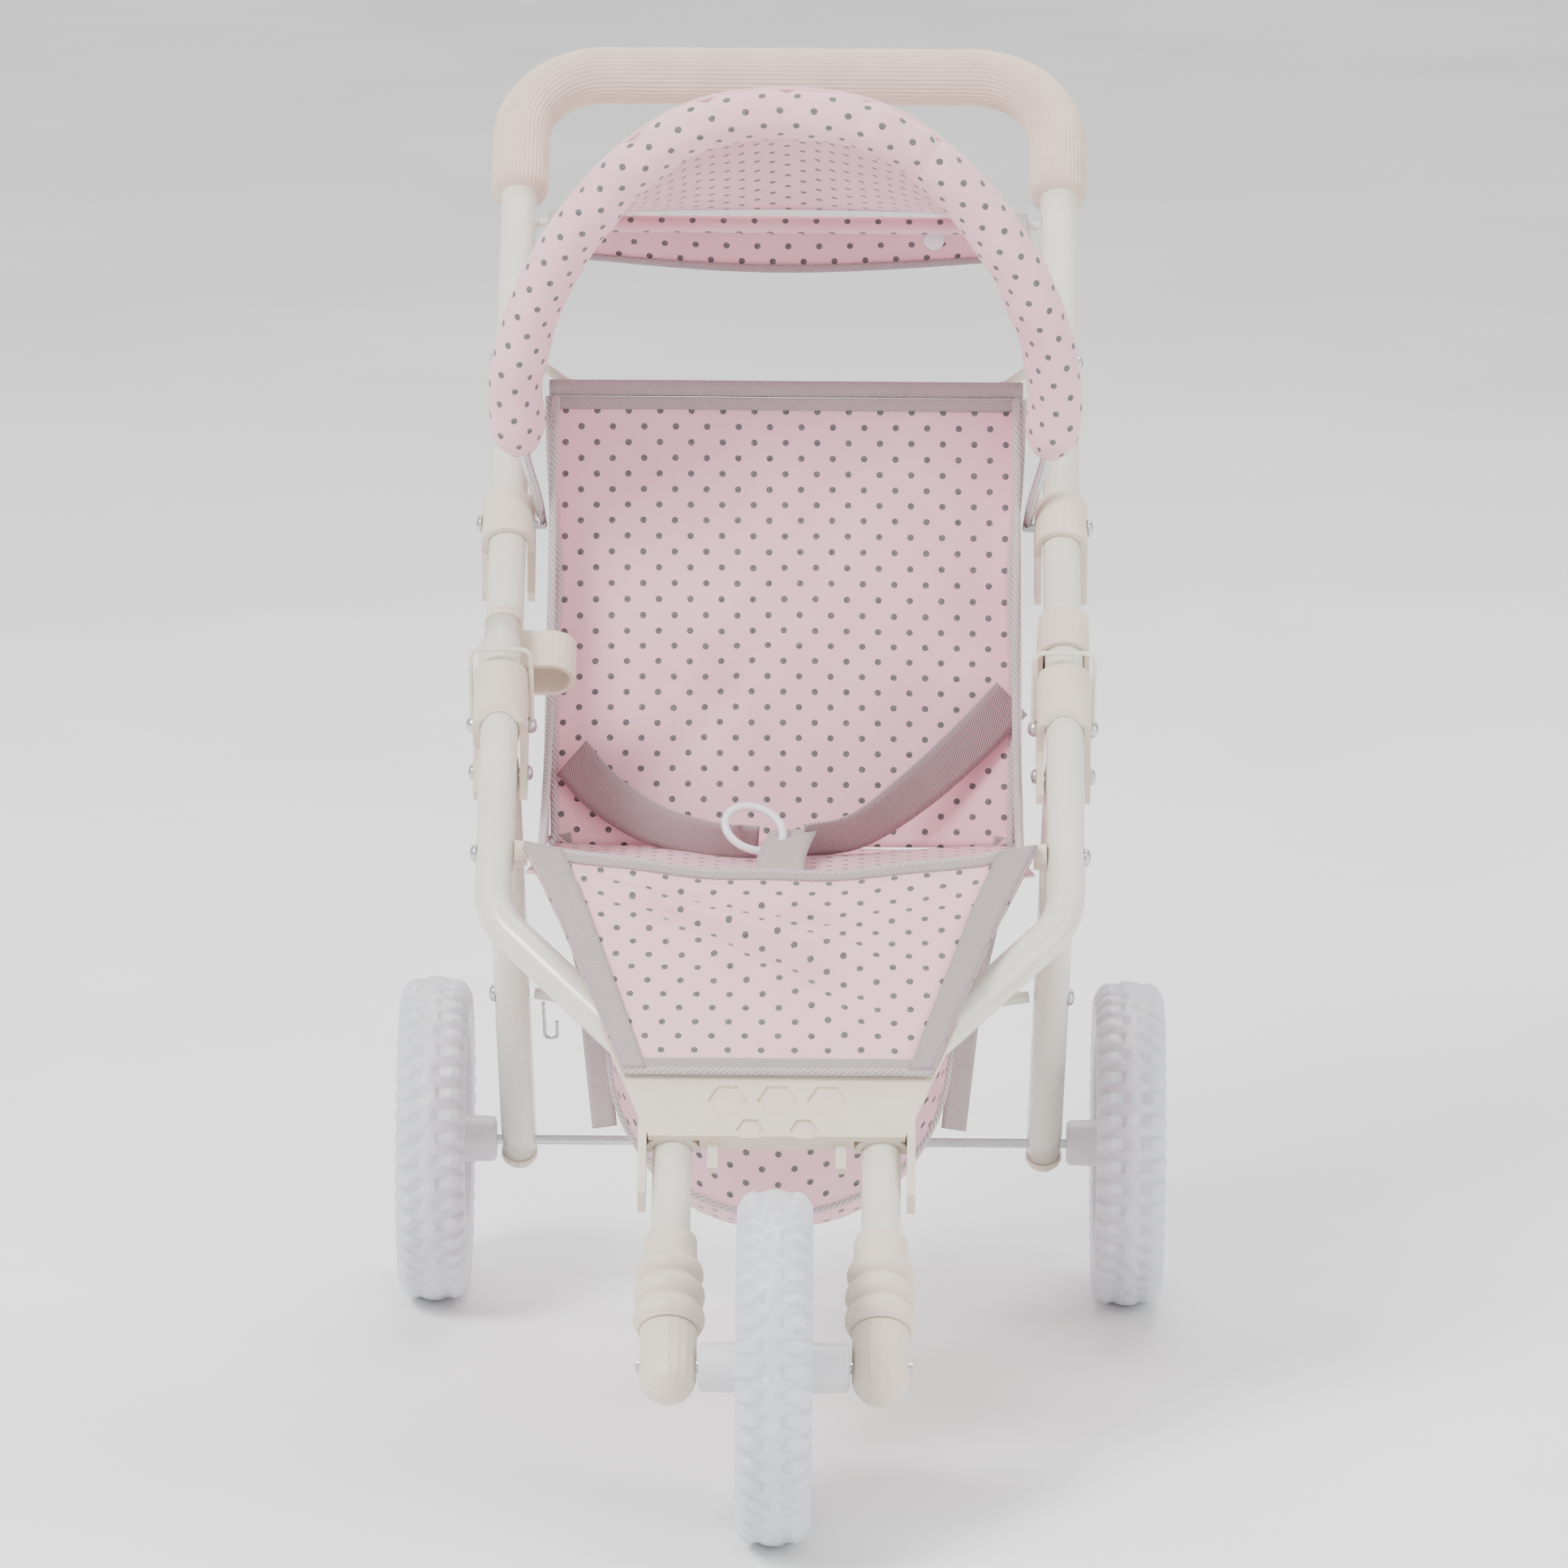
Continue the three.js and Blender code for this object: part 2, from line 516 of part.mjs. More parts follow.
for (const [side, sign] of SIDES) {
  const gusset = acrossX([
    [CREASE[0] - 5, CREASE[1] + 6], [SEAT_FRONT[0] + 4, SEAT_FRONT[1] + 7], [-160, 298], [-86, 332], [-29, 470],
    [-15, 462],
  ].map(([y, z]) => [y - 3, z]), 2);
  add(world, `seat_side_${side}`, gusset, cloth, [sign * 119, 0, 0]);
}

function panelSurface(u, v) {
  const half = 127 - 52 * v;
  const q = 302 - 142 * v - 17 * Math.sin(Math.PI * u) * (1 - v) ** 2;
  const over = -8.5 - 9 * Math.min(1, v * 3);
  const sag = 3 * Math.sin(Math.PI * u) * Math.sin(Math.PI * v);
  const [y, z] = lowerPoint(q, over + sag * 0.3);
  return new THREE.Vector3((u * 2 - 1) * half, y, z);
}
add(world, 'leg_panel', sheet(panelSurface, 8, 8, 2), cloth);

// ---- harness ----
for (const [side, sign] of SIDES) {
  const strap = sheet((u, v) => {
    const x = sign * (108 - 80 * v);
    const drop = 0.5 - 0.5 * Math.cos(Math.PI * v);
    return new THREE.Vector3(x, -62 - 62 * drop + 3 * u, 322 - 47 * drop + (u - 0.5) * (22 - 6 * v));
  }, 1, 8, 1.6);
  add(world, `harness_${side}`, strap, webbing);
}
add(world, 'crotch_strap', sheet((u, v) => new THREE.Vector3(-6 + (u - 0.5) * 24, -140 - 66 * v,
  271.5 + 7 * v), 1, 3, 1.6), webbing);
add(world, 'harness_ring', new THREE.TorusGeometry(11, 2, 8, 20).scale(1.2, 1, 1), plastic, [-12, -132, 276.5],
  [-0.5, 0, 0]);

// ---- basket: an open sagging bag under the seat ----
function basket() {
  const section = (scale, lift) => {
    const shape = new THREE.Shape();
    shape.moveTo(-88 * scale, 205);
    shape.quadraticCurveTo(-88 * scale, 78 + lift, 0, 78 + lift);
    shape.quadraticCurveTo(88 * scale, 78 + lift, 88 * scale, 205);
    shape.closePath();
    return shape;
  };
  const outer = new THREE.ExtrudeGeometry(section(1, 0), { depth: 150, bevelEnabled: false, curveSegments: 8 });
  const inner = new THREE.ExtrudeGeometry(section(0.965, 3), { depth: 144, bevelEnabled: false, curveSegments: 8 });
  inner.translate(0, 2, 3);
  const bag = toSolid(outer).subtract(toSolid(inner));
  return fromSolid(bag).rotateX(Math.PI / 2);
}
add(world, 'basket', basket(), cloth, [0, -62, 0]);

export default stroller;
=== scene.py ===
import json
import math
import bpy
from mathutils import Matrix, Vector


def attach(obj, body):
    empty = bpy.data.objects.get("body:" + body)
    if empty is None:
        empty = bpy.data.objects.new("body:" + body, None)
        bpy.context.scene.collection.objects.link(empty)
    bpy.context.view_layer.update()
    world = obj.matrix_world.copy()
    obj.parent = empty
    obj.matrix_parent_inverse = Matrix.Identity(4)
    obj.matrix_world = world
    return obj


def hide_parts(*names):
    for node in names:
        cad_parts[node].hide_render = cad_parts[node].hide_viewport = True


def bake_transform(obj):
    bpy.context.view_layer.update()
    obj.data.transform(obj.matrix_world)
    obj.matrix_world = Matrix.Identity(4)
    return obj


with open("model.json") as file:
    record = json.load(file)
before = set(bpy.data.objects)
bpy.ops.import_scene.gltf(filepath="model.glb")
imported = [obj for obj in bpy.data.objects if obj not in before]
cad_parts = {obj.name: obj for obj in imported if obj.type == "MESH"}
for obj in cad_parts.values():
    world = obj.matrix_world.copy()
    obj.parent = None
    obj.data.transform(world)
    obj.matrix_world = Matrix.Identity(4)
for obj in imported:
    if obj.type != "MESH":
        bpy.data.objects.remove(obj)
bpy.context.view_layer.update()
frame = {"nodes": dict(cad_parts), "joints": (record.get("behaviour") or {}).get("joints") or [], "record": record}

JOINTS = {j["name"]: j for j in frame["joints"]}
SIDES = (("left", -1), ("right", 1))

# ---------------------------------------------------------------- camera, floor and lights
CAMERA_AT = (0.030, -4.574, 1.2514)
CAMERA_PITCH = math.radians(78.39)
CAMERA_YAW = math.radians(0.36)
CAMERA_ROLL = math.radians(0.35)


def make_camera():
    data = bpy.data.cameras.new("camera")
    data.lens, data.sensor_width = 214.3, 36.0
    camera = bpy.data.objects.new("camera", data)
    turn = Matrix.Rotation(CAMERA_YAW, 4, "Z") @ Matrix.Rotation(CAMERA_PITCH, 4, "X")
    turn = turn @ Matrix.Rotation(CAMERA_ROLL, 4, "Z")
    camera.matrix_world = Matrix.Translation(CAMERA_AT) @ turn
    bpy.context.collection.objects.link(camera)
    bpy.context.scene.camera = camera


def make_light(name, at, size, watts, target=(0, 0, 0.3)):
    data = bpy.data.lights.new(name, "AREA")
    data.shape, data.size, data.energy = "SQUARE", size, watts
    light = bpy.data.objects.new(name, data)
    light.location = at
    light.rotation_euler = (Vector(target) - Vector(at)).to_track_quat("-Z", "Y").to_euler()
    bpy.context.collection.objects.link(light)


# ---------------------------------------------------------------- material helpers
def srgb(r, g, b):
    linear = ((c / 255 / 12.92) if c <= 10 else ((c / 255 + 0.055) / 1.055) ** 2.4 for c in (r, g, b))
    return tuple(linear) + (1,)


class Nodes:
    """A short way to write a node tree."""

    def __init__(self, name, **finish):
        self.material = bpy.data.materials.new(name)
        self.material.use_nodes = True
        self.tree = self.material.node_tree
        self.shader = self.tree.nodes["Principled BSDF"]
        for key, value in finish.items():
            self.shader.inputs[key.replace("_", " ")].default_value = value

    def new(self, kind, *inputs, out=0, **settings):
        node = self.tree.nodes.new(kind)
        for key, value in settings.items():
            setattr(node, key, value)
        for i, value in enumerate(inputs):
            if value is None:
                continue
            if isinstance(value, bpy.types.NodeSocket):
                self.tree.links.new(value, node.inputs[i])
            else:
                node.inputs[i].default_value = value
        return node.outputs[out]

    def math(self, operation, a, b=None, c=None):
        return self.new("ShaderNodeMath", a, b, c, operation=operation)

    def mix(self, factor, a, b):
        node = self.tree.nodes.new("ShaderNodeMix")
        node.data_type = "RGBA"
        for socket, value in ((node.inputs[0], factor), (node.inputs[6], a), (node.inputs[7], b)):
            if isinstance(value, bpy.types.NodeSocket):
                self.tree.links.new(value, socket)
            else:
                socket.default_value = value
        return node.outputs[2]

    def noise(self, scale, detail=3.0, vector=None):
        node = self.tree.nodes.new("ShaderNodeTexNoise")
        node.inputs["Scale"].default_value = scale
        node.inputs["Detail"].default_value = detail
        source = vector or self.new("ShaderNodeTexCoord", out=3)
        self.tree.links.new(source, node.inputs["Vector"])
        return node.outputs[0]

    def spread(self, value, low, high):
        return self.new("ShaderNodeMapRange", value, 0.3, 0.7, low, high)

    def bump(self, height, distance, strength=1.0):
        node = self.tree.nodes.new("ShaderNodeBump")
        node.inputs["Strength"].default_value = strength
        node.inputs["Distance"].default_value = distance
        self.tree.links.new(height, node.inputs["Height"])
        self.tree.links.new(node.outputs[0], self.shader.inputs["Normal"])

    def set(self, name, socket):
        self.tree.links.new(socket, self.shader.inputs[name])
        return self


def smooth_finish(name, colour, rough, spot, grain, depth, **finish):
    n = Nodes(name, Base_Color=colour, **finish)
    shade = tuple(c * 0.90 for c in colour[:3]) + (1,)
    n.set("Base Color", n.mix(n.spread(n.noise(spot, 4), 0.0, 1.0), shade, colour))
    n.set("Roughness", n.spread(n.noise(spot * 3, 3), rough - 0.06, rough + 0.08))
    n.bump(n.noise(grain, 2), depth, 0.5)
    return n.material


def uv_parts(n):
    uv = n.new("ShaderNodeUVMap", uv_map="cloth")
    split = n.new("ShaderNodeSeparateXYZ", uv)
    return split, split.node.outputs[1]


DOT_PITCH = 0.0162
DOT_RADIUS = 0.00172
PINK = srgb(243, 193, 205)
PINK_SHADE = srgb(235, 178, 193)
DOT_GREY = srgb(84, 82, 86)
THREAD = 0.00045


def dotted_cloth(name):
    n = Nodes(name, Roughness=0.88, Sheen_Weight=0.25, Sheen_Roughness=0.5, Specular_IOR_Level=0.25)
    u, v = uv_parts(n)

    def to_dot(shift):
        a = n.math("PINGPONG", n.math("ADD", u, shift), DOT_PITCH / 2)
        b = n.math("PINGPONG", n.math("ADD", v, shift), DOT_PITCH / 2)
        return n.math("SQRT", n.math("ADD", n.math("MULTIPLY", a, a), n.math("MULTIPLY", b, b)))

    away = n.math("MINIMUM", to_dot(0.0), to_dot(DOT_PITCH / 2))
    ragged = n.math("ADD", away, n.math("MULTIPLY", n.noise(1400.0, 2), 0.00022))
    dot = n.new("ShaderNodeMapRange", ragged, DOT_RADIUS - 0.00002, DOT_RADIUS + 0.00018, 1.0, 0.0)
    warp = n.math("SINE", n.math("MULTIPLY", u, math.tau / THREAD))
    weft = n.math("SINE", n.math("MULTIPLY", v, math.tau / THREAD))
    weave = n.math("MULTIPLY", warp, weft)
    cloth = n.mix(n.spread(n.noise(22.0, 4), 0.0, 1.0), PINK_SHADE, PINK)
    # Painted highlight: the cloth turns paler where the weave's thread crossings rise in the bump.
    cloth = n.mix(n.new("ShaderNodeMapRange", weave, -1.0, 1.0, 0.0, 0.22), cloth, srgb(250, 226, 231))
    ink = n.mix(n.spread(n.noise(900.0, 2), 0.0, 1.0), DOT_GREY, srgb(122, 118, 120))
    n.set("Base Color", n.mix(dot, cloth, ink))
    n.bump(n.math("ADD", n.math("MULTIPLY", weave, 0.35),
                  n.math("MULTIPLY", n.noise(180.0, 3), 1.2)), 0.00016, 0.6)
    return n.material


def twill(name, colour, rib, slant=1.0):
    n = Nodes(name, Roughness=0.9, Sheen_Weight=0.3, Sheen_Roughness=0.5, Specular_IOR_Level=0.2)
    u, v = uv_parts(n)
    along = n.math("ADD", u, n.math("MULTIPLY", v, slant))
    wave = n.math("SINE", n.math("MULTIPLY", along, math.tau / rib))
    fine = n.math("SINE", n.math("MULTIPLY", v, math.tau / (rib * 0.42)))
    # Painted shade and highlight: the rib bands are darker (0.60) in the grooves and lighter (1.18, the light
    # colour) on the crests, following the same wave as the bump.
    painted_groove_shade = tuple(c * 0.60 for c in colour[:3]) + (1,)
    light = tuple(min(1, c * 1.18) for c in colour[:3]) + (1,)
    ribs = n.math("ADD", wave, n.math("MULTIPLY", fine, 0.25))
    rib_shade_mask = n.new("ShaderNodeMapRange", ribs, -1.1, 1.1, 0.0, 1.0)
    base = n.mix(rib_shade_mask, painted_groove_shade, light)
    n.set("Base Color", n.mix(n.spread(n.noise(60.0, 3), 0.0, 0.35), base, colour))
    n.bump(wave, 0.00028, 0.8)
    return n.material


PAINT = smooth_finish("cream_paint", srgb(229, 226, 212), 0.24, 14.0, 420.0, 0.00006, Coat_Weight=0.35,
                      Coat_Roughness=0.12, Metallic=0.0)
PLASTIC = smooth_finish("cream_plastic", srgb(229, 214, 196), 0.44, 30.0, 900.0, 0.00005,
                        Subsurface_Weight=0.12, Subsurface_Radius=(0.004, 0.003, 0.002), Subsurface_Scale=1.0)
WHITE = smooth_finish("white_plastic", srgb(240, 240, 246), 0.3, 40.0, 900.0, 0.00003, Subsurface_Weight=0.2,
                      Subsurface_Radius=(0.003, 0.003, 0.003), Subsurface_Scale=1.0)
FOAM = smooth_finish("grip_foam", srgb(222, 200, 184), 0.86, 60.0, 1500.0, 0.00015, Sheen_Weight=0.15)
EVA = smooth_finish("tyre_eva", srgb(214, 216, 221), 0.36, 25.0, 700.0, 0.00006, Subsurface_Weight=0.18,
                    Subsurface_Radius=(0.008, 0.008, 0.009), Subsurface_Scale=1.0)
HUB = smooth_finish("hub_plastic", srgb(224, 224, 228), 0.38, 25.0, 800.0, 0.00004, Subsurface_Weight=0.15,
                    Subsurface_Radius=(0.005, 0.005, 0.005), Subsurface_Scale=1.0)
ZINC = smooth_finish("zinc_steel", srgb(205, 207, 210), 0.27, 120.0, 2200.0, 0.00002, Metallic=1.0)
CLOTH = dotted_cloth("dotted_cloth")
TRIM = twill("grey_twill", srgb(190, 172, 176), 0.0017)
PIPING = twill("grey_piping", srgb(202, 188, 190), 0.0026, 0.8)
WEBBING = twill("mauve_webbing", srgb(176, 154, 158), 0.0014, 0.6)
PALE_WEBBING = twill("pale_webbing", srgb(205, 195, 192), 0.0016, 0.6)

SLOTS = {
    "cream_paint": PAINT, "cream_plastic": PLASTIC, "white_plastic": WHITE, "grip_foam": FOAM, "tyre": EVA,
    "wheel_hub": HUB, "dotted_fabric": CLOTH, "webbing": WEBBING, "zinc_steel": ZINC,
}


# ---------------------------------------------------------------- mesh helpers
def apart(a, b):
    return (a - b).length


def make_object(name, verts, faces, uvs, material, body, smooth=True, wrap=0.0):
    """uvs are per vertex; wrap is added to u where a face closes a tube, so that the pattern runs on."""
    mesh = bpy.data.meshes.new(name)
    mesh.from_pydata([tuple(v) for v in verts], [], faces)
    if uvs:
        layer = mesh.uv_layers.new(name="cloth")
        for polygon in mesh.polygons:
            corners = [uvs[mesh.loops[i].vertex_index] for i in polygon.loop_indices]
            most = max(c[0] for c in corners)
            for i, (u, v) in zip(polygon.loop_indices, corners):
                layer.data[i].uv = (u + wrap if wrap and most - u > wrap / 2 else u, v)
    mesh.materials.append(material)
    mesh.update()
    piece = bpy.data.objects.new(name, mesh)
    bpy.context.collection.objects.link(piece)
    if smooth:
        mesh.shade_smooth()
    if body:
        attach(piece, body)
    return piece


def normal_of(fn, u, v, step=2e-3):
    du = fn(min(u + step, 1), v) - fn(max(u - step, 0), v)
    dv = fn(u, min(v + step, 1)) - fn(u, max(v - step, 0))
    return du.cross(dv).normalized()


def cloth_piece(name, fn, nu, nv, material, body, thick=0.0011):
    """A closed thin sheet over fn(u, v), with its flat cloth coordinates in metres."""
    rows, uvs = [], []
    middle = 0.0
    for j in range(nv + 1):
        v = j / nv
        row = [fn(i / nu, v) for i in range(nu + 1)]
        if j:
            middle += apart(row[nu // 2], rows[-1][nu // 2])
        width = sum(apart(row[i + 1], row[i]) for i in range(nu))
        run, at = 0.0, []
        for i in range(nu + 1):
            at.append((run - width / 2, middle))
            if i < nu:
                run += apart(row[i + 1], row[i])
        rows.append(row)
        uvs.append(at)
    verts, flat = [], []
    for sign in (0.5, -0.5):
        for j in range(nv + 1):
            for i in range(nu + 1):
                verts.append(rows[j][i] + normal_of(fn, i / nu, j / nv) * thick * sign)
                flat.append(uvs[j][i])
    at = lambda s, i, j: s * (nu + 1) * (nv + 1) + j * (nu + 1) + i
    faces = []
    for j in range(nv):
        for i in range(nu):
            faces.append((at(0, i, j), at(0, i + 1, j), at(0, i + 1, j + 1), at(0, i, j + 1)))
            faces.append((at(1, i, j + 1), at(1, i + 1, j + 1), at(1, i + 1, j), at(1, i, j)))
    for i in range(nu):
        faces.append((at(0, i + 1, 0), at(0, i, 0), at(1, i, 0), at(1, i + 1, 0)))
        faces.append((at(0, i, nv), at(0, i + 1, nv), at(1, i + 1, nv), at(1, i, nv)))
    for j in range(nv):
        faces.append((at(0, 0, j), at(0, 0, j + 1), at(1, 0, j + 1), at(1, 0, j)))
        faces.append((at(0, nu, j + 1), at(0, nu, j), at(1, nu, j), at(1, nu, j + 1)))
    return make_object(name, verts, faces, flat, material, body)


def part_of(fn, u0, u1, v0, v1, lift=0.0):
    """The stretch of fn between those limits, raised off it."""
    def inner(s, t):
        u, v = u0 + (u1 - u0) * s, v0 + (v1 - v0) * t
        return fn(u, v) + normal_of(fn, u, v) * lift
    return inner


def frames_along(points):
    """Each point with its tangent and two steady normals."""
    last = len(points) - 1
    tangents = [(points[min(i + 1, last)] - points[max(i - 1, 0)]).normalized() for i in range(last + 1)]
    side = tangents[0].orthogonal().normalized()
    out = []
    for point, tangent in zip(points, tangents):
        side = (side - tangent * side.dot(tangent)).normalized()
        out.append((point, tangent, side, tangent.cross(side)))
    return out


def swept(name, points, radius_at, sides, material, body):
    """A tube whose radius is radius_at(metres along, angle)."""
    verts, uvs, faces = [], [], []
    run = 0.0
    whole = sum(apart(a, b) for a, b in zip(points, points[1:]))
    mean = radius_at(whole * 0.31, 0.0)
    stations = frames_along(points)
    for k, (point, _, side, up) in enumerate(stations):
        if k:
            run += apart(point, points[k - 1])
        for i in range(sides):
            a = math.tau * i / sides
            r = radius_at(run, a)
            verts.append(point + (side * math.cos(a) + up * math.sin(a)) * r)
            uvs.append((a * mean, run))
    for k in range(len(points) - 1):
        for i in range(sides):
            j = (i + 1) % sides
            faces.append((k * sides + i, k * sides + j, (k + 1) * sides + j, (k + 1) * sides + i))
    faces.append(tuple(range(sides - 1, -1, -1)))
    faces.append(tuple(range((len(points) - 1) * sides, len(points) * sides)))
    return make_object(name, verts, faces, uvs, material, body, wrap=math.tau * mean)


def dome(name, at, direction, radius, height, body, material=None, rings=5, sides=20):
    """A rivet head or screw cap standing on its point."""
    axis = Vector(direction).normalized()
    side = axis.orthogonal().normalized()
    up = axis.cross(side)
    profile = [(radius, 0), (radius, height * 0.28)]
    profile += [(radius * math.cos(a), height * (0.28 + 0.72 * math.sin(a)))
                for a in (math.pi / 2 * k / rings for k in range(1, rings))]
    profile.append((radius * 0.02, height))
    verts, faces = [], []
    for r, h in profile:
        for i in range(sides):
            a = math.tau * i / sides
            verts.append(Vector(at) + axis * h + (side * math.cos(a) + up * math.sin(a)) * r)
    for k in range(len(profile) - 1):
        for i in range(sides):
            j = (i + 1) % sides
            faces.append((k * sides + i, k * sides + j, (k + 1) * sides + j, (k + 1) * sides + i))
    faces.append(tuple(range(sides - 1, -1, -1)))
    faces.append(tuple(range((len(profile) - 1) * sides, len(profile) * sides)))
    return make_object(name, verts, faces, None, material or ZINC, body)


def smooth_path(points, each=6):
    """Catmull-Rom through the points."""
    pts = [Vector(p) for p in points]
    pts = [pts[0] * 2 - pts[1]] + pts + [pts[-1] * 2 - pts[-2]]
    out = []
    for k in range(1, len(pts) - 2):
        a, b, c, d = pts[k - 1:k + 3]
        for i in range(each):
            t = i / each
            out.append(0.5 * ((2 * b) + (c - a) * t + (2 * a - 5 * b + 4 * c - d) * t * t
                              + (3 * b - a - 3 * c + d) * t ** 3))
    return out + [pts[-2]]


# ---------------------------------------------------------------- places taken from the frame
PIN = Vector(JOINTS["handle_fold"]["pos_m"])
HOOP_PIN = Vector(JOINTS["canopy_fold"]["pos_m"])
LEG_PIN = Vector(JOINTS["rear_leg_fold"]["pos_m"])
NOSE = Vector(JOINTS["nose_wheel_spin"]["pos_m"])
REAR = Vector(JOINTS["left_wheel_spin"]["pos_m"])
REAR.x = 0
FRAME_LEAN = math.radians(48.5)
HANDLE_LEAN = math.radians(46.66)
ALONG = Vector((0, math.sin(FRAME_LEAN), math.cos(FRAME_LEAN)))
BACK = Vector((0, math.cos(FRAME_LEAN), -math.sin(FRAME_LEAN)))
H_ALONG = Vector((0, math.sin(HANDLE_LEAN), math.cos(HANDLE_LEAN)))
H_BACK = Vector((0, math.cos(HANDLE_LEAN), -math.sin(HANDLE_LEAN)))
FRAME_X = 0.1415
TUBE_R = 0.0095


def lower(x, q, back=0.0):
    return Vector((x, NOSE.y, NOSE.z)) + ALONG * q + BACK * back


def on_handle(x, s, back=0.0):
    return Vector((x, PIN.y, PIN.z)) + H_ALONG * s + H_BACK * back


def finish_frame():
    slots = {s["node"]: s["material_slot"] for s in frame["record"]["subparts"]}
    for name, node in frame["nodes"].items():
        node.data.materials.clear()
        node.data.materials.append(SLOTS[slots[name]])
        node.data.shade_smooth()
        node.data.set_sharp_from_angle(angle=math.radians(32))
        if slots[name] == "cream_plastic":
            soften = node.modifiers.new("soft edges", "BEVEL")
            soften.width, soften.segments, soften.limit_method = 0.0007, 3, "ANGLE"
            soften.angle_limit = math.radians(35)
            soften.harden_normals = False


# ---------------------------------------------------------------- wheels
TREAD = 44


def tyre(name, node, body, at):
    """A tyre with side knobs, a ring of centre blocks and a raised zigzag rib."""
    outline = [(-0.0165, 0.0615), (-0.0178, 0.0665), (-0.0172, 0.0735), (-0.0140, 0.0790), (-0.0100, 0.0812),
               (-0.0045, 0.0820), (-0.0016, 0.0822), (0.0016, 0.0822), (0.0045, 0.0820), (0.0100, 0.0812),
               (0.0140, 0.0790), (0.0172, 0.0735), (0.0178, 0.0665), (0.0165, 0.0615)]
    steps = TREAD * 6
    verts, faces = [], []
    count = len(outline)
    for k in range(steps):
        a = math.tau * k / steps
        block = (k % 6) in (1, 2, 3)
        for i, (w, r) in enumerate(outline):
            if block and i in (2, 3, 4, 9, 10, 11):
                r += 0.0028
                w += 0.0009 * (1 if w > 0 else -1)
            half = (k + 3) % 6 in (1, 2, 3)
            if half and i in (5, 8):
                r += 0.0022
            if i in (6, 7):
                r += 0.0026
                w += 0.0016 * math.sin(math.tau * k / 12)
            verts.append(at + Vector((w, math.cos(a) * r, math.sin(a) * r)))
    for k in range(steps):
        m = (k + 1) % steps
        for i in range(count):
            j = (i + 1) % count
            faces.append((k * count + i, m * count + i, m * count + j, k * count + j))
    piece = make_object(name, verts, faces, None, EVA, body)
    bevel = piece.modifiers.new("round", "BEVEL")
    bevel.width, bevel.segments, bevel.limit_method = 0.0006, 2, "ANGLE"
    bevel.angle_limit = math.radians(24)
    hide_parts(node)


def hub(name, node, body, at, inner, outer, sign):
    """A moulded wheel with a dished face, five spokes and a long boss."""
    sides = 100
    profile = [(0.0036, outer), (0.010, outer), (0.0118, outer - 0.0015), (0.0125, 0.006), (0.0165, 0.0046),
               (0.0495, 0.0046), (0.0535, 0.0098), (0.0600, 0.0104), (0.0609, 0.0098), (0.0609, -0.0098),
               (0.0600, -0.0104), (0.0535, -0.0098), (0.0495, -0.0046), (0.0165, -0.0046), (0.0125, -0.006),
               (0.0118, 0.0015 - inner), (0.010, -inner), (0.0036, -inner)]
    verts, faces = [], []
    count = len(profile)
    for k in range(sides):
        a = math.tau * k / sides
        window = (k % 20) in range(5, 16)
        for i, (r, w) in enumerate(profile):
            if window and i in (4, 5, 12, 13):
                w *= 0.35
            verts.append(at + Vector((w * sign, math.cos(a) * r, math.sin(a) * r)))
    for k in range(sides):
        m = (k + 1) % sides
        for i in range(count):
            j = (i + 1) % count
            face = (k * count + i, k * count + j, m * count + j, m * count + i)
            faces.append(face if sign > 0 else face[::-1])
    piece = make_object(name, verts, faces, None, HUB, body)
    bevel = piece.modifiers.new("round", "BEVEL")
    bevel.width, bevel.segments, bevel.limit_method = 0.0005, 2, "ANGLE"
    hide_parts(node)


def wheels():
    for side, sign in SIDES:
        at = Vector((sign * 0.181, REAR.y, REAR.z))
        tyre(f"tyre_{side}", f"rear_wheel_{side}_tyre", f"{side}_wheel", at)
        hub(f"hub_{side}", f"rear_wheel_{side}_hub", f"{side}_wheel", at, 0.032, 0.013, sign)
    tyre("tyre_front", "front_wheel_tyre", "nose_wheel", NOSE)
    hub("hub_front", "front_wheel_hub", "nose_wheel", NOSE, 0.036, 0.036, 1)


# ---------------------------------------------------------------- ribbed foam grip
def grip():
    top, start, radius = 0.423, 0.341, 0.044
    corner = top - radius
    points = [on_handle(-FRAME_X, start + (corner - start) * k / 8) for k in range(8)]
    for k in range(15):
        a = math.pi / 2 * k / 14
        points.append(on_handle(-FRAME_X + radius * (1 - math.cos(a)), corner + radius * math.sin(a)))
    points += [on_handle(x, top) for x in (-0.085, -0.07, -0.055, -0.04, -0.025, -0.01)]
    points += [Vector((-p.x, p.y, p.z)) for p in reversed(points)]
    total = sum(apart(a, b) for a, b in zip(points, points[1:]))
    ribs, each = 40, 5

    def radius_at(run, a):
        end = min(run, total - run)
        rounding = 0.0016 * max(0.0, 1 - end / 0.003) ** 2
        ripple = 0.00025 * math.sin(run * 260 + 2 * math.sin(a * 3)) * math.sin(run * 37)
        return 0.0146 + 0.00042 * math.cos(ribs * a) + ripple - rounding
    piece = swept("grip", points, radius_at, ribs * each, FOAM, "handle")
    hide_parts("handle_grip")


# ---------------------------------------------------------------- bent steel tubes
def rounded(corners, radius, steps=14):
    """A polyline with each corner turned into an arc."""
    points = [corners[0]]
    for before, here, after in zip(corners, corners[1:], corners[2:]):
        back, on = (before - here).normalized(), (after - here).normalized()
        half = back.angle(on) / 2
        middle = here + (back + on).normalized() * (radius / math.sin(half))
        setback = radius / math.tan(half)
        start, end = here + back * setback - middle, here + on * setback - middle
        sweep = start.angle(end)
        for k in range(steps + 1):
            w = k / steps
            mixed = start * math.sin((1 - w) * sweep) + end * math.sin(w * sweep)
            points.append(middle + mixed / math.sin(sweep))
    return points + [corners[-1]]


def stretched_out(points, longest=0.02):
    """The same path with no step longer than that, for even shading."""
    out = [points[0]]
    for a, b in zip(points, points[1:]):
        parts = max(1, math.ceil(apart(a, b) / longest))
        out += [a.lerp(b, (k + 1) / parts) for k in range(parts)]
    return out


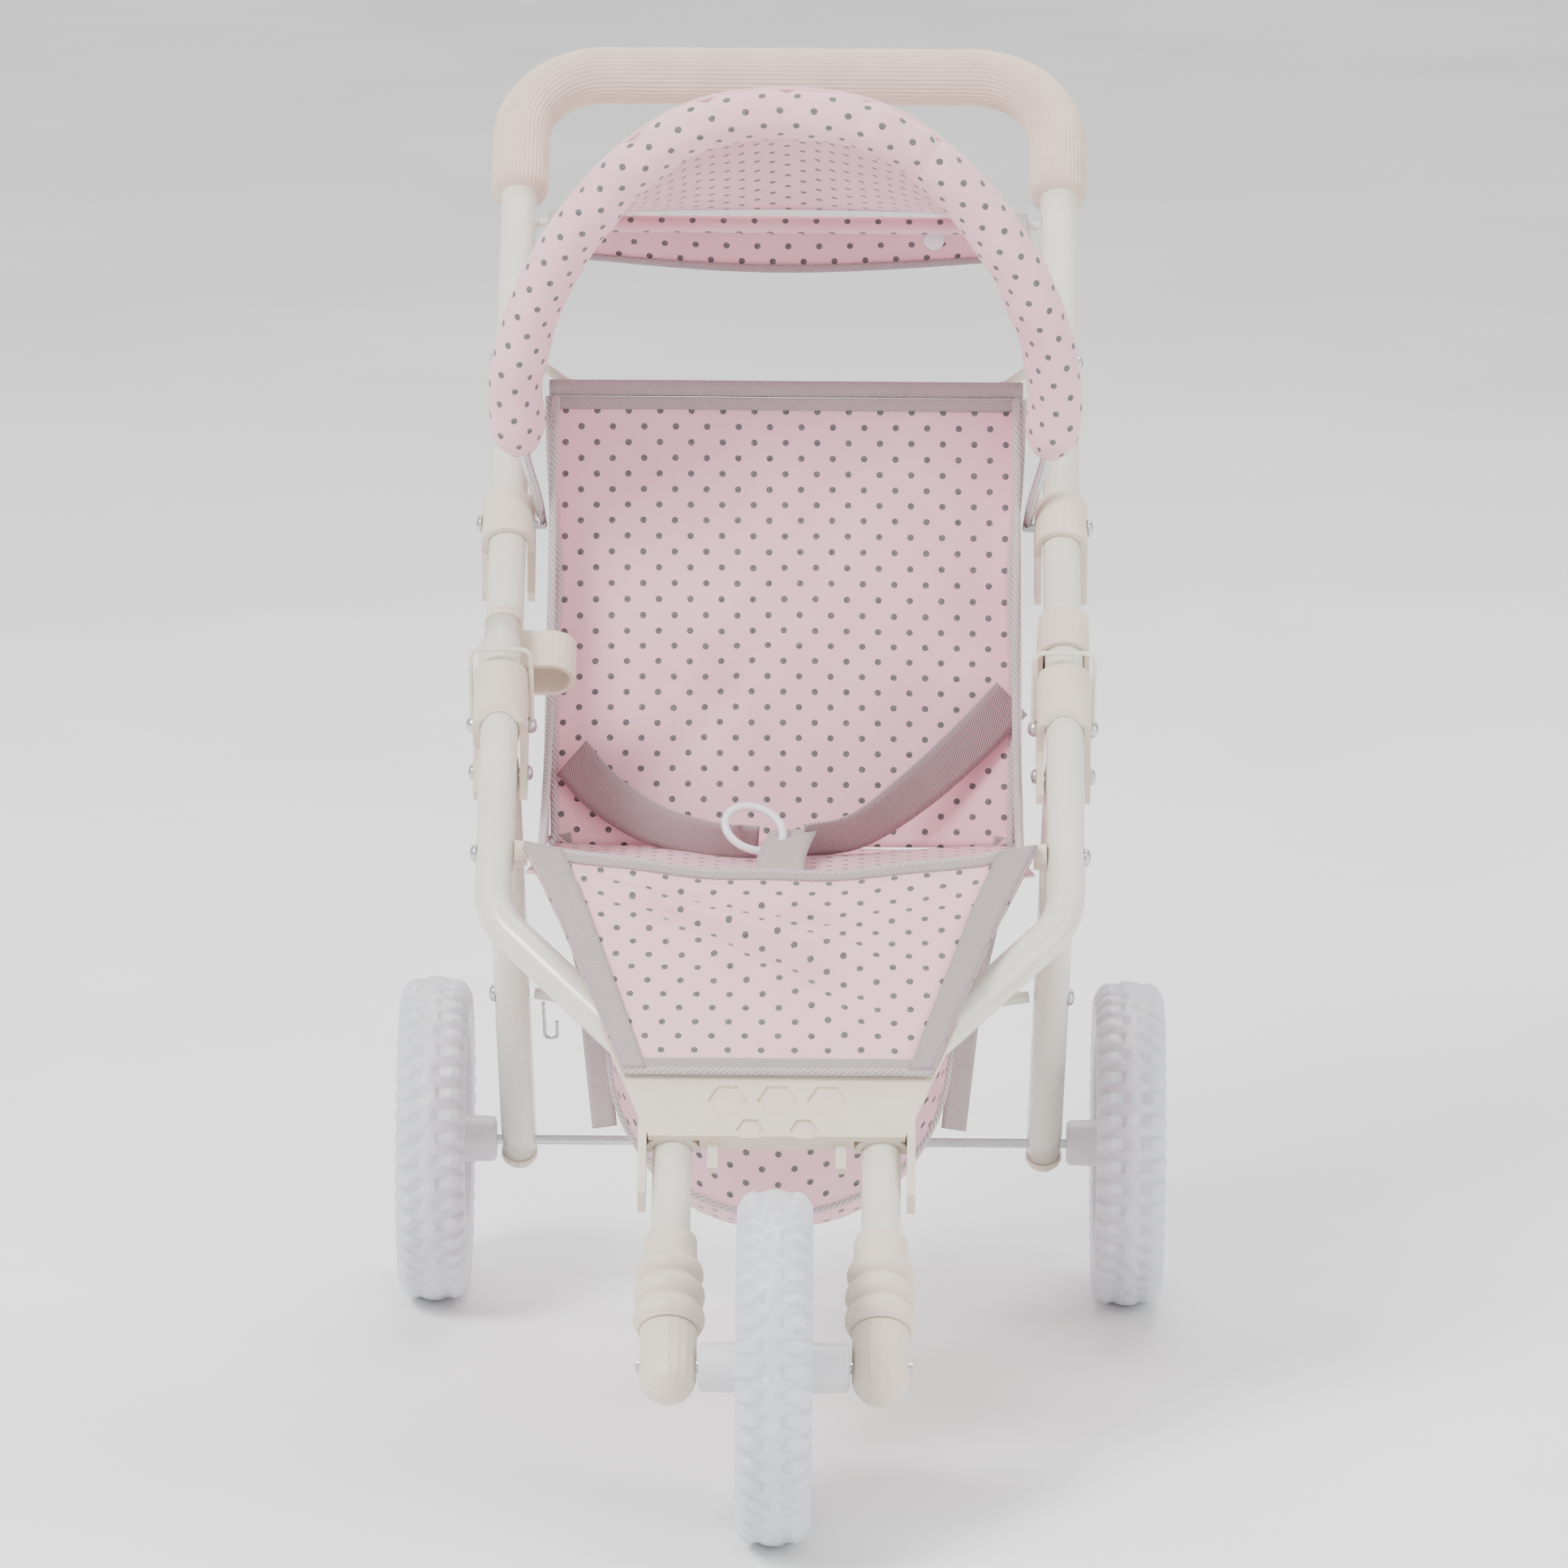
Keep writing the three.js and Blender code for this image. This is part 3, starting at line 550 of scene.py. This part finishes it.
def steel(name, node, path, radius, body, material=None, sides=36):
    whole = sum(apart(a, b) for a, b in zip(path, path[1:]))

    def soft_ended(run, a):
        return radius - 0.0006 * max(0, 1 - min(run, whole - run) / 0.001)
    piece = swept(name, path, soft_ended, sides, material or PAINT, body)
    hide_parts(node)
    return piece


def tubes():
    for side, sign in SIDES:
        steel(f"frame_tube_{side}", f"lower_tube_{side}", stretched_out(rounded([
            lower(sign * 0.0506, 0.021), lower(sign * 0.0506, 0.163), lower(sign * FRAME_X, 0.264),
            lower(sign * FRAME_X, 0.447)], 0.042)), TUBE_R, "frame")
        leg = (REAR - LEG_PIN).normalized()
        top, foot = LEG_PIN - leg * 0.008, REAR + leg * 0.008
        top.x, foot.x = sign * 0.141, sign * 0.1373
        steel(f"leg_tube_{side}", f"rear_leg_{side}", stretched_out([top, foot]), 0.0092, "rear_legs")
        boot(side, sign)
    steel("push_tube", "handle_tube", stretched_out(rounded([
        on_handle(-FRAME_X, -0.008), on_handle(-FRAME_X, 0.423), on_handle(FRAME_X, 0.423),
        on_handle(FRAME_X, -0.008)], 0.044)), TUBE_R, "handle")
    leg = (REAR - LEG_PIN).normalized()
    at = lambda x, t: Vector((x, LEG_PIN.y, LEG_PIN.z)) + leg * t
    steel("brace_tube", "brace_bar", stretched_out(rounded([
        at(-0.1274, 0.160), at(-0.100, 0.164), at(-0.062, 0.200), at(0.062, 0.200), at(0.100, 0.164),
        at(0.1274, 0.160)], 0.018, 6)), 0.0035, "rear_legs", sides=20)
    inner = FRAME_X - TUBE_R - 0.0016
    steel("back_rod_tube", "backrest_rod", stretched_out(rounded([
        on_handle(-inner, 0.232), on_handle(-0.112, 0.210, -0.008), on_handle(0.112, 0.210, -0.008),
        on_handle(inner, 0.232)], 0.012, 6)), 0.0026, "handle", sides=18)
    ends = 0.018
    steps = 90
    path = [on_arch(ends + (1 - 2 * ends) * k / steps) for k in range(steps + 1)]
    path = [path[0] + (path[0] - path[1]).normalized() * 0.012] + path
    path = path + [path[-1] + (path[-1] - path[-2]).normalized() * 0.012]
    steel("hoop_tube", "canopy_hoop", path, 0.0026, "hoop", ZINC, 18)


def boot(side, sign):
    """The ribbed rubber sleeve at the foot of a fork tube, and the round cap below it."""
    profile = [(0.0100, 0.0205), (0.0150, 0.0205)]
    for low, high, waist, crest in ((0.0215, 0.0325, 0.0150, 0.0173), (0.0345, 0.0455, 0.0146, 0.0172),
                                    (0.0475, 0.0575, 0.0138, 0.0164)):
        for k in range(9):
            a = math.pi * k / 8
            profile.append((waist + (crest - waist) * math.sin(a) ** 0.6, low + (high - low) * k / 8))
    profile += [(0.0134, 0.0590), (0.0131, 0.0620), (0.0131, 0.0705), (0.0127, 0.0725),
                (0.0118, 0.0732), (0.0100, 0.0732)]
    lathe(f"boot_{side}", profile, lower(sign * 0.0506, 0), ALONG, PLASTIC, "frame",
          f"fork_boot_{side}")


def lathe(name, profile, at, axis, material, body, node=None, sides=56):
    """A closed ring of revolution from (radius, height) pairs round an axis."""
    side = Vector((1, 0, 0))
    up = axis.cross(side).normalized()
    count = len(profile)
    verts = [at + axis * h + (side * math.cos(math.tau * k / sides) + up * math.sin(math.tau * k / sides)) * r
             for k in range(sides) for r, h in profile]
    faces = []
    for k in range(sides):
        m = (k + 1) % sides
        for i in range(count):
            j = (i + 1) % count
            faces.append((k * count + i, m * count + i, m * count + j, k * count + j))
    piece = make_object(name, verts, faces, None, material, body)
    piece.data.set_sharp_from_angle(angle=math.radians(40))
    if node:
        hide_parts(node)
    return piece


# ---------------------------------------------------------------- small hardware
def hardware():
    for side, sign in SIDES:
        out = (sign, 0, 0)
        x = sign * (FRAME_X + TUBE_R - 0.0004)
        dome(f"rod_rivet_{side}", on_handle(x, 0.232), out, 0.0042, 0.0032, "handle")
        dome(f"rod_rivet_inner_{side}", on_handle(sign * (FRAME_X - TUBE_R + 0.0004), 0.323), (-sign, 0, 0),
             0.0046, 0.0014, "handle", PAINT)
        dome(f"seat_rivet_{side}", lower(x, 0.303), out, 0.0044, 0.0034, "frame")
        leg = LEG_PIN + (REAR - LEG_PIN).normalized() * 0.160
        dome(f"brace_rivet_{side}", (sign * 0.1475, leg.y, leg.z), out, 0.0044, 0.0034, "rear_legs")
        pin = Vector((0, PIN.y, PIN.z))
        dome(f"bail_screw_{side}", (sign * (FRAME_X + 0.0134), pin.y, pin.z), out, 0.0046, 0.0046, "frame")
        dome(f"bail_nut_{side}", (sign * (FRAME_X - 0.0134), pin.y, pin.z), (-sign, 0, 0), 0.0046, 0.0046,
             "frame", sides=6)
        dome(f"leg_screw_{side}", (sign * (FRAME_X + 0.0134), LEG_PIN.y, LEG_PIN.z), out, 0.0042, 0.003,
             "frame")
        dome(f"leg_nut_{side}", (sign * (FRAME_X - 0.0134), LEG_PIN.y, LEG_PIN.z), (-sign, 0, 0), 0.0042,
             0.003, "frame", sides=6)
        dome(f"hoop_rivet_{side}", (sign * (FRAME_X + 0.0134), HOOP_PIN.y, HOOP_PIN.z), out, 0.0044, 0.003,
             "handle")


# ---------------------------------------------------------------- fabric surfaces
def ridge(u, v, a, b, width, height):
    """A soft crease from a to b on the (u, v) square."""
    ax, ay = a
    dx, dy = b[0] - ax, b[1] - ay
    length = math.hypot(dx, dy)
    t = ((u - ax) * dx + (v - ay) * dy) / (length * length)
    d = ((u - ax) * dy - (v - ay) * dx) / length
    fade = math.exp(-((t - 0.5) / 0.42) ** 4)
    return height * fade * math.exp(-(d / width) ** 2)


SHIFT_Y = REAR.y
CREASE = Vector((0, SHIFT_Y - 0.076, 0.261))
BACK_TOP = Vector((0, SHIFT_Y + 0.003, 0.478))
SEAT_FRONT = Vector((0, SHIFT_Y - 0.238, 0.279))


def backrest(u, v):
    side = (u * 2 - 1)
    bulge = 0.0035 * math.exp(-((v - 0.60) / 0.16) ** 2)
    half = 0.1165 + 0.0055 * v - bulge * (0.4 + 0.6 * abs(side))
    p = (CREASE + Vector((0, -0.002, -0.002))).lerp(BACK_TOP, v)
    bow = 0.006 * math.sin(math.pi * u) * math.sin(math.pi * v)
    bow += ridge(u, v, (0.16, 0.12), (0.52, 0.78), 0.035, -0.0022)
    bow += ridge(u, v, (0.22, 0.10), (0.62, 0.66), 0.03, 0.0016)
    bow += ridge(u, v, (0.75, 0.05), (0.95, 0.45), 0.05, -0.0014)
    bow += ridge(u, v, (0.05, 0.55), (0.30, 0.95), 0.05, 0.0012)
    bow += 0.0005 * math.sin(11 * u + 5 * v) * math.sin(9 * v - 4 * u)
    return Vector((side * half, p.y + bow, p.z))


def seat_surface(u, v):
    side = u * 2 - 1
    half = 0.116 + 0.010 * v
    p = (CREASE + Vector((0, -0.003, -0.001))).lerp(SEAT_FRONT, v)
    sag = 0.007 * math.sin(math.pi * u) * (0.4 + 0.6 * v)
    sag += 0.0010 * math.sin(math.pi * u) * math.sin(18 * u + 4 * v)
    return Vector((side * half, p.y, p.z - sag))


def panel_surface(u, v):
    side = u * 2 - 1
    half = 0.127 - 0.052 * v
    q = 0.302 - 0.142 * v - 0.017 * math.sin(math.pi * u) * (1 - v) ** 2
    over = -0.0085 - 0.009 * min(1.0, v * 3)
    wave = 0.0
    folds = ((0.42, 0.026, 0.0034), (0.60, 0.030, -0.0042), (0.78, 0.034, 0.0040), (0.98, 0.05, -0.0036))
    for k, (end, width, height) in enumerate(folds):
        wave += ridge(u, v, (0.02, 0.04 + 0.04 * k), (0.86, end), width, height)
    wave += 0.0016 * math.sin(23 * u) * math.exp(-v / 0.10)
    wave += ridge(u, v, (0.98, 0.06), (0.45, 0.40), 0.05, 0.0014)
    belly = 0.004 * math.sin(math.pi * u) * math.sin(math.pi * v)
    p = lower(side * half, q, over - belly * 0.6 + wave * math.sin(math.pi * u) ** 0.5)
    return p


ARCH = smooth_path([(x / 1000, 0, h / 1000) for x, h in (
    (-124.4, 0), (-126.5, 16), (-133, 42), (-137, 76), (-129, 118), (-110, 160), (-81, 199), (-45, 226),
    (0, 234), (45, 226), (81, 199), (110, 160), (129, 118), (137, 76), (133, 42), (126.5, 16), (124.4, 0))], 8)
ARCH_RUN = [0.0]
for one, two in zip(ARCH, ARCH[1:]):
    ARCH_RUN.append(ARCH_RUN[-1] + apart(one, two))
HOOP_LEAN = math.radians(-18.3)
SLEEVE_FROM = 0.072


def on_arch(t):
    """The hoop's middle line in the row frame, by the share of its length."""
    want = t * ARCH_RUN[-1]
    k = max(1, next((i for i, run in enumerate(ARCH_RUN) if run >= want), len(ARCH_RUN) - 1))
    share = (want - ARCH_RUN[k - 1]) / (ARCH_RUN[k] - ARCH_RUN[k - 1])
    p = ARCH[k - 1].lerp(ARCH[k], share)
    return HOOP_PIN + Vector((p.x, math.sin(HOOP_LEAN) * p.z, math.cos(HOOP_LEAN) * p.z))


ROD = on_handle(0, 0.323)


def canopy_roof(u, v):
    front = on_arch(SLEEVE_FROM + (1 - 2 * SLEEVE_FROM) * u)
    crown = Vector((0, HOOP_PIN.y, HOOP_PIN.z + 0.09))
    front = front + (front - crown).normalized() * 0.004
    front.y += 0.006
    rear = Vector(((u * 2 - 1) * 0.125, ROD.y - 0.001, ROD.z + 0.0055 + 0.003 * math.sin(math.pi * u)))
    point = front.lerp(rear, v)
    middle = math.sin(math.pi * u)
    swell = math.sin(math.pi * v)
    point.z += 0.007 * swell * middle - 0.004 * swell * math.cos(6 * math.pi * u) * middle
    point.z += 0.0012 * math.sin(40 * u) * math.sin(math.pi * v)
    return point


def valance(u, v):
    drop = 0.024 + 0.006 * math.sin(math.pi * u)
    wave = 0.002 * math.sin(9 * u + 1) * v
    x = (u * 2 - 1) * (0.123 - 0.016 * v)
    return Vector((x, ROD.y + 0.0048 + 0.002 * v + wave, ROD.z + 0.004 - drop * v))


def binding(name, fn, body, nu, nv, material, u0, u1, v0, v1, lift=0.0012, blend=None):
    """A folded tape on both faces of a cloth's edge."""
    made = []
    for face, sign in (("front", 1), ("back", -1)):
        surface = part_of(fn, u0, u1, v0, v1, sign * lift)
        piece = cloth_piece(f"{name}_{face}", surface, nu, nv, material, body, 0.0009)
        if blend:
            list(blend[0])
            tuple(blend[1])
            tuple(blend[2])
            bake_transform(piece)
        made.append(piece)
    return made


BLEND_BACK = (("frame", "handle"), tuple(CREASE + Vector((0, 0.005, 0.02))),
              tuple(BACK_TOP - Vector((0, 0, 0.02))))


def edge_points(fn, u0, v0, u1, v1, count=40):
    points = []
    for k in range(count + 1):
        t = k / count
        points.append(fn(u0 + (u1 - u0) * t, v0 + (v1 - v0) * t))
    return points


def piping(name, points, radius, body, blend=None, material=PIPING):
    piece = swept(name, points, lambda run, a: radius, 10, material, body)
    if blend:
        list(blend[0])
        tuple(blend[1])
        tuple(blend[2])
        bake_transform(piece)
    return piece


def trapezoid(first, last, length, dip=0.0, steps=12):
    """Corners of a pattern first wide at one end and last at the other; dip hollows the first edge."""
    top = [((k / steps - 0.5) * first, dip * math.sin(math.pi * k / steps)) for k in range(steps + 1)]
    return top + [(last / 2, length), (-last / 2, length)]


def half_oval(across, deep, steps=24):
    """Corners of a pattern shaped like half an ellipse."""
    turns = [math.pi * k / steps for k in range(steps + 1)]
    return [(-across / 2 * math.cos(a), deep * math.sin(a)) for a in turns]


def declare(pattern, strip=None):
    """Works out the width and length of a cloth's cut and keeps neither: pattern holds the corners it was cut to,
    in metres.
    strip is the (seam length, deepest height) of a piece that is sewn as a bent strip."""
    across, along = [c[0] for c in pattern], [c[1] for c in pattern]
    width, length = strip or (max(across) - min(across), max(along) - min(along))


def seat():
    back = cloth_piece("backrest", backrest, 60, 60, CLOTH, "")
    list(BLEND_BACK[0])
    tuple(BLEND_BACK[1])
    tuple(BLEND_BACK[2])
    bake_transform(back)
    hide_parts("backrest_panel")
    trims = binding("back_band", backrest, "", 60, 6, TRIM, 0, 1, 0.972, 1.0, blend=BLEND_BACK)
    hem = [p + Vector((0, 0.0015, 0.0045)) for p in edge_points(backrest, 0, 1, 1, 1)]
    trims.append(piping("back_hem", hem, 0.0042, "handle", material=TRIM))
    for side, u in (("left", 0.0), ("right", 1.0)):
        edge = edge_points(backrest, u, 0, u, 1, 60)
        trims.append(piping(f"back_piping_{side}", edge, 0.0021, "", BLEND_BACK))
    declare(trapezoid(0.233, 0.244, (BACK_TOP - CREASE).length))

    base = cloth_piece("seat_cloth", seat_surface, 48, 30, CLOTH, "frame")
    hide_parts("seat_base")
    declare(trapezoid(0.232, 0.252, (SEAT_FRONT - CREASE).length))
    for side, sign in SIDES:
        def gusset(u, v, sign=sign):
            """From the seat's side (v 0) up to the free edge (v 1); u runs from the seat's front to back."""
            low_front = SEAT_FRONT + Vector((0, 0.008, 0.003))
            low = low_front.lerp(CREASE, u)
            edge = [SEAT_FRONT + Vector((0, 0.004, 0.008)), Vector((0, SHIFT_Y - 0.160, 0.297)),
                    Vector((0, SHIFT_Y - 0.088, 0.333)), Vector((0, SHIFT_Y - 0.028, 0.468)), BACK_TOP.copy()]
            where = min(u * 4, 3.999)
            high = edge[int(where)].lerp(edge[int(where) + 1], where - int(where))
            if u > 0.5:
                low = CREASE.lerp(BACK_TOP, (u - 0.5) * 1.9)
            else:
                low = low_front.lerp(CREASE, u * 2)
            p = low.lerp(high, v)
            puff = 0.0022 * math.sin(math.pi * v) * math.sin(math.pi * u)
            return Vector((sign * (0.1185 + puff + 0.003 * (1 - u) * (1 - v)), p.y, p.z))
        wing = cloth_piece(f"seat_gusset_{side}", gusset, 40, 10, CLOTH, "")
        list(BLEND_BACK[0])
        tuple(BLEND_BACK[1])
        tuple(BLEND_BACK[2])
        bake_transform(wing)
        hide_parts(f"seat_side_{side}")
        rim = piping(f"gusset_piping_{side}", edge_points(gusset, 0, 1, 1, 1, 60), 0.0021, "", BLEND_BACK)
        corners = [CREASE, SEAT_FRONT, Vector((0, SHIFT_Y - 0.160, 0.297)),
                   Vector((0, SHIFT_Y - 0.088, 0.333)), Vector((0, SHIFT_Y - 0.028, 0.468)), BACK_TOP]
        seam = apart(SEAT_FRONT, CREASE) + apart(CREASE, BACK_TOP)
        deepest = apart(CREASE, corners[3])
        declare([(c.y, c.z) for c in corners], (seam, deepest))


def leg_panel():
    panel = cloth_piece("leg_panel_cloth", panel_surface, 60, 50, CLOTH, "frame")
    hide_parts("leg_panel")
    trims = binding("panel_top", panel_surface, "frame", 50, 4, TRIM, 0, 1, 0.0, 0.055)
    trims += binding("panel_hem", panel_surface, "frame", 50, 4, TRIM, 0, 1, 0.955, 1.0)
    for side, (u0, u1) in (("left", (0.0, 0.075)), ("right", (0.925, 1.0))):
        trims += binding(f"panel_side_{side}", panel_surface, "frame", 5, 50, TRIM, u0, u1, 0, 1, lift=0.0022)
    trims.append(piping("panel_top_piping", edge_points(panel_surface, 0, 0, 1, 0, 50), 0.0024, "frame"))
    trims.append(piping("panel_hem_piping", edge_points(panel_surface, 0, 1, 1, 1, 50), 0.0020, "frame"))
    declare(trapezoid(0.254, 0.150, 0.142, dip=0.017))


def canopy():
    steps = 200
    points = [on_arch(SLEEVE_FROM + (1 - 2 * SLEEVE_FROM) * k / steps) for k in range(steps + 1)]
    total = sum(apart(a, b) for a, b in zip(points, points[1:]))

    def radius_at(run, a):
        end = min(run, total - run)
        taper = 1 - 0.5 * max(0.0, 1 - end / 0.016) ** 2
        gather = 0.0007 * math.sin(run * 150 + 1.5 * math.sin(a)) * (0.5 + 0.5 * math.sin(run * 47))
        tucks = (0.36, 0.43, 0.50, 0.57, 0.64)
        tuck = -0.0022 * sum(math.exp(-((run / total - c) / 0.006) ** 2) for c in tucks)
        tuck *= 0.5 + 0.5 * math.cos(a - 2.6)
        flat = 1 + 0.10 * math.cos(2 * a)
        return (0.0138 * flat + gather + tuck) * taper
    sleeve = swept("canopy_sleeve_cloth", points, radius_at, 36, CLOTH, "hoop")
    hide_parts("canopy_sleeve")
    crown = Vector((0, HOOP_PIN.y, HOOP_PIN.z + 0.09))
    seam = []
    for p in points:
        away = (p - crown)
        away.y = 0
        seam.append(p + away.normalized() * 0.0128 + Vector((0, -0.003, 0)))
    piping("sleeve_seam", seam[4:-4], 0.0012, "hoop", material=CLOTH)
    blend = (("handle", "hoop"), tuple(ROD), tuple(HOOP_PIN + Vector((0, -0.055, 0.15))))
    roof = cloth_piece("canopy_roof", canopy_roof, 80, 30, CLOTH, "")
    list(blend[0])
    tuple(blend[1])
    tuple(blend[2])
    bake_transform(roof)
    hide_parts("canopy_fabric")
    trims = []
    for side, (u0, u1) in (("left", (0.0, 0.030)), ("right", (0.970, 1.0))):
        trims += binding(f"canopy_trim_{side}", canopy_roof, "", 4, 30, TRIM, u0, u1, 0, 1, blend=blend)
    hoop_cover = ARCH_RUN[-1] * (1 - 2 * SLEEVE_FROM)
    reach = (apart(on_arch(0.5), ROD) + apart(on_arch(SLEEVE_FROM), ROD - Vector((0.125, 0, 0)))) / 2
    declare(trapezoid(hoop_cover, 0.250, reach))
    skirt = cloth_piece("canopy_skirt", valance, 60, 8, CLOTH, "handle")
    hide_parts("canopy_valance")
    hem = binding("skirt_hem", valance, "handle", 60, 3, TRIM, 0, 1, 0.86, 1.0)
    along_rod = [Vector((-0.123 + 0.246 * k / 30, ROD.y, ROD.z)) for k in range(31)]
    rod_hem = piping("canopy_rod_hem", along_rod, 0.0046, "handle", material=CLOTH)
    dome("canopy_snap", valance(0.83, 0.45) - Vector((0, 0.0004, 0)), (0, -1, 0), 0.0055, 0.0024, "handle",
         WHITE)
    declare(trapezoid(0.246, 0.214, 0.028))


def strap(name, middle, width, material, node):
    """A flat webbing strap 1.4 mm thick along a list of (point, across) pairs."""
    points = smooth_path([m[0] for m in middle], 8)
    across = smooth_path([m[1] for m in middle], 8)

    def fn(u, v):
        where = min(v * (len(points) - 1), len(points) - 1.001)
        k = int(where)
        p = points[k].lerp(points[k + 1], where - k)
        a = across[k].lerp(across[k + 1], where - k).normalized()
        return p + a * (u - 0.5) * width
    piece = cloth_piece(name, fn, 6, 60, material, "frame", 0.0015)
    if node:
        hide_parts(node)
    route = sum(apart(a[0], b[0]) for a, b in zip(middle, middle[1:]))
    declare(trapezoid(width, width, route))
    return piece


def harness():
    y = SHIFT_Y
    left_across = [(0.62, -0.10, 0.75), (0.58, -0.15, 0.80), (0.40, -0.30, 0.85), (0.20, -0.50, 0.85),
                   (0.05, -0.60, 0.80)]
    left_at = [(-0.108, -0.070, 0.303), (-0.092, -0.079, 0.287), (-0.066, -0.094, 0.2735),
               (-0.036, -0.110, 0.2690), (-0.012, -0.122, 0.2705)]
    right_across = [(-0.66, -0.12, 0.72), (-0.62, -0.15, 0.75), (-0.50, -0.30, 0.80), (-0.25, -0.50, 0.80),
                    (-0.05, -0.60, 0.80)]
    right_at = [(0.117, -0.058, 0.333), (0.094, -0.070, 0.311), (0.066, -0.087, 0.289),
                (0.038, -0.106, 0.2735), (0.012, -0.121, 0.2712)]
    for name, places, acrosses, node in (("shoulder_left", left_at, left_across, "harness_left"),
                                         ("shoulder_right", right_at, right_across, "harness_right")):
        middle = [(Vector((px, y + py, pz)), Vector(a)) for (px, py, pz), a in zip(places, acrosses)]
        strap(name, middle, 0.0235, WEBBING, node)
    strap("crotch_webbing", [
        (Vector((0.006, y - 0.122, 0.2765)), Vector((1, 0.2, 0))),
        (Vector((0.002, y - 0.150, 0.2740)), Vector((1, 0.1, 0))),
        (Vector((0.000, y - 0.180, 0.2735)), Vector((1, 0.05, 0))),
        (Vector((0.000, y - 0.212, 0.2745)), Vector((1, 0, 0)))],
        0.024, PALE_WEBBING, "crotch_strap")
    turns = [math.tau * k / 40 for k in range(41)]
    ring = [Vector((0.0155 * math.cos(a), 0.0115 * math.sin(a), 0)) for a in turns]
    tilt = Matrix.Rotation(math.radians(52), 3, "X") @ Matrix.Rotation(math.radians(-28), 3, "Z")
    at = Vector((-0.014, y - 0.134, 0.2800))
    path = [at + tilt @ p for p in ring]
    piece = swept("buckle_ring", path, lambda run, a: 0.0021, 12, WHITE, "frame")
    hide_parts("harness_ring")


def basket():
    y0, y1 = SHIFT_Y - 0.0635, SHIFT_Y - 0.2105

    def bag(u, v):
        """u across from rim to rim, v from back to front, with rounded ends that rise to the rim."""
        a = math.pi * u
        end = abs(v * 2 - 1)
        depth = 0.124 * (1 - 0.16 * end ** 3)
        x = -0.086 * math.cos(a) * (1 - 0.05 * math.sin(a))
        z = 0.204 - depth * math.sin(a) ** 0.62
        crumple = 0.0018 * math.sin(9 * u + 7 * v) * math.sin(13 * v + 3 * u) * math.sin(a)
        return Vector((x * (1 + crumple * 8), y0 + (y1 - y0) * v, max(z + crumple, 0.0795)))
    body = cloth_piece("basket_cloth", bag, 60, 36, CLOTH, "frame")
    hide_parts("basket")
    for name, v in (("back", 0.0), ("front", 1.0)):
        def end(u, w, v=v):
            rim = bag(u, v)
            top = Vector((rim.x, rim.y, 0.204 - 0.010 * math.sin(math.pi * u)))
            p = rim.lerp(top, w)
            p.y += 0.004 * math.sin(math.pi * w) * math.sin(math.pi * u) * (1 if v else -1) * -1
            return p
        wall = cloth_piece(f"basket_{name}", end, 40, 14, CLOTH, "frame")
        declare(half_oval(0.172, 0.104))
        piping(f"basket_rim_{name}", edge_points(end, 0, 1, 1, 1), 0.0022, "frame")
        piping(f"basket_seam_{name}", edge_points(bag, 0.02, v, 0.98, v), 0.0016, "frame")
    for side, u in (("left", 0.0), ("right", 1.0)):
        piping(f"basket_edge_{side}", edge_points(bag, u, 0, u, 1), 0.0022, "frame")
    girth = math.pi / 2 * (3 * 0.210 - math.sqrt((3 * 0.086 + 0.124) * (0.086 + 3 * 0.124)))
    declare(trapezoid(girth, girth, y0 - y1))
    for side, sign in SIDES:
        for place, y, rise, out in (("front", -0.198, 0.058, 0.012), ("rear", -0.080, 0.060, 0.026)):
            start = Vector((sign * 0.0875, SHIFT_Y + y, 0.140))
            end_at = Vector((sign * (0.0885 + out), SHIFT_Y + y + 0.004, 0.204 + rise))
            face = Vector((0.9, 0.3 * sign, -0.2 * sign))
            strap_points = [(start, face), (start.lerp(end_at, 0.5), face), (end_at, face)]
            strap(f"basket_strap_{place}_{side}", strap_points, 0.013, TRIM, None)


make_camera()
finish_frame()
wheels()
tubes()
grip()
hardware()
seat()
leg_panel()
canopy()
harness()
basket()

floor_mesh = bpy.data.meshes.new("floor")
floor_mesh.from_pydata([(-9, -9, 0), (9, -9, 0), (9, 9, 0), (-9, 9, 0)], [], [(0, 1, 2, 3)])
floor = bpy.data.objects.new("floor", floor_mesh)
floor_mesh.materials.append(smooth_finish("floor", srgb(252, 252, 252), 0.9, 2.0, 30.0, 0.0))
bpy.context.collection.objects.link(floor)
world = bpy.context.scene.world or bpy.data.worlds.new("world")
bpy.context.scene.world = world
world.use_nodes = True
world.node_tree.nodes["Background"].inputs[0].default_value = (1, 1, 1, 1)
world.node_tree.nodes["Background"].inputs[1].default_value = 1.05
make_light("key", (-1.7, -1.6, 2.8), 1.1, 120)
make_light("fill", (2.4, -1.4, 1.2), 1.6, 34)
make_light("top", (0.3, 1.3, 2.8), 1.6, 60)
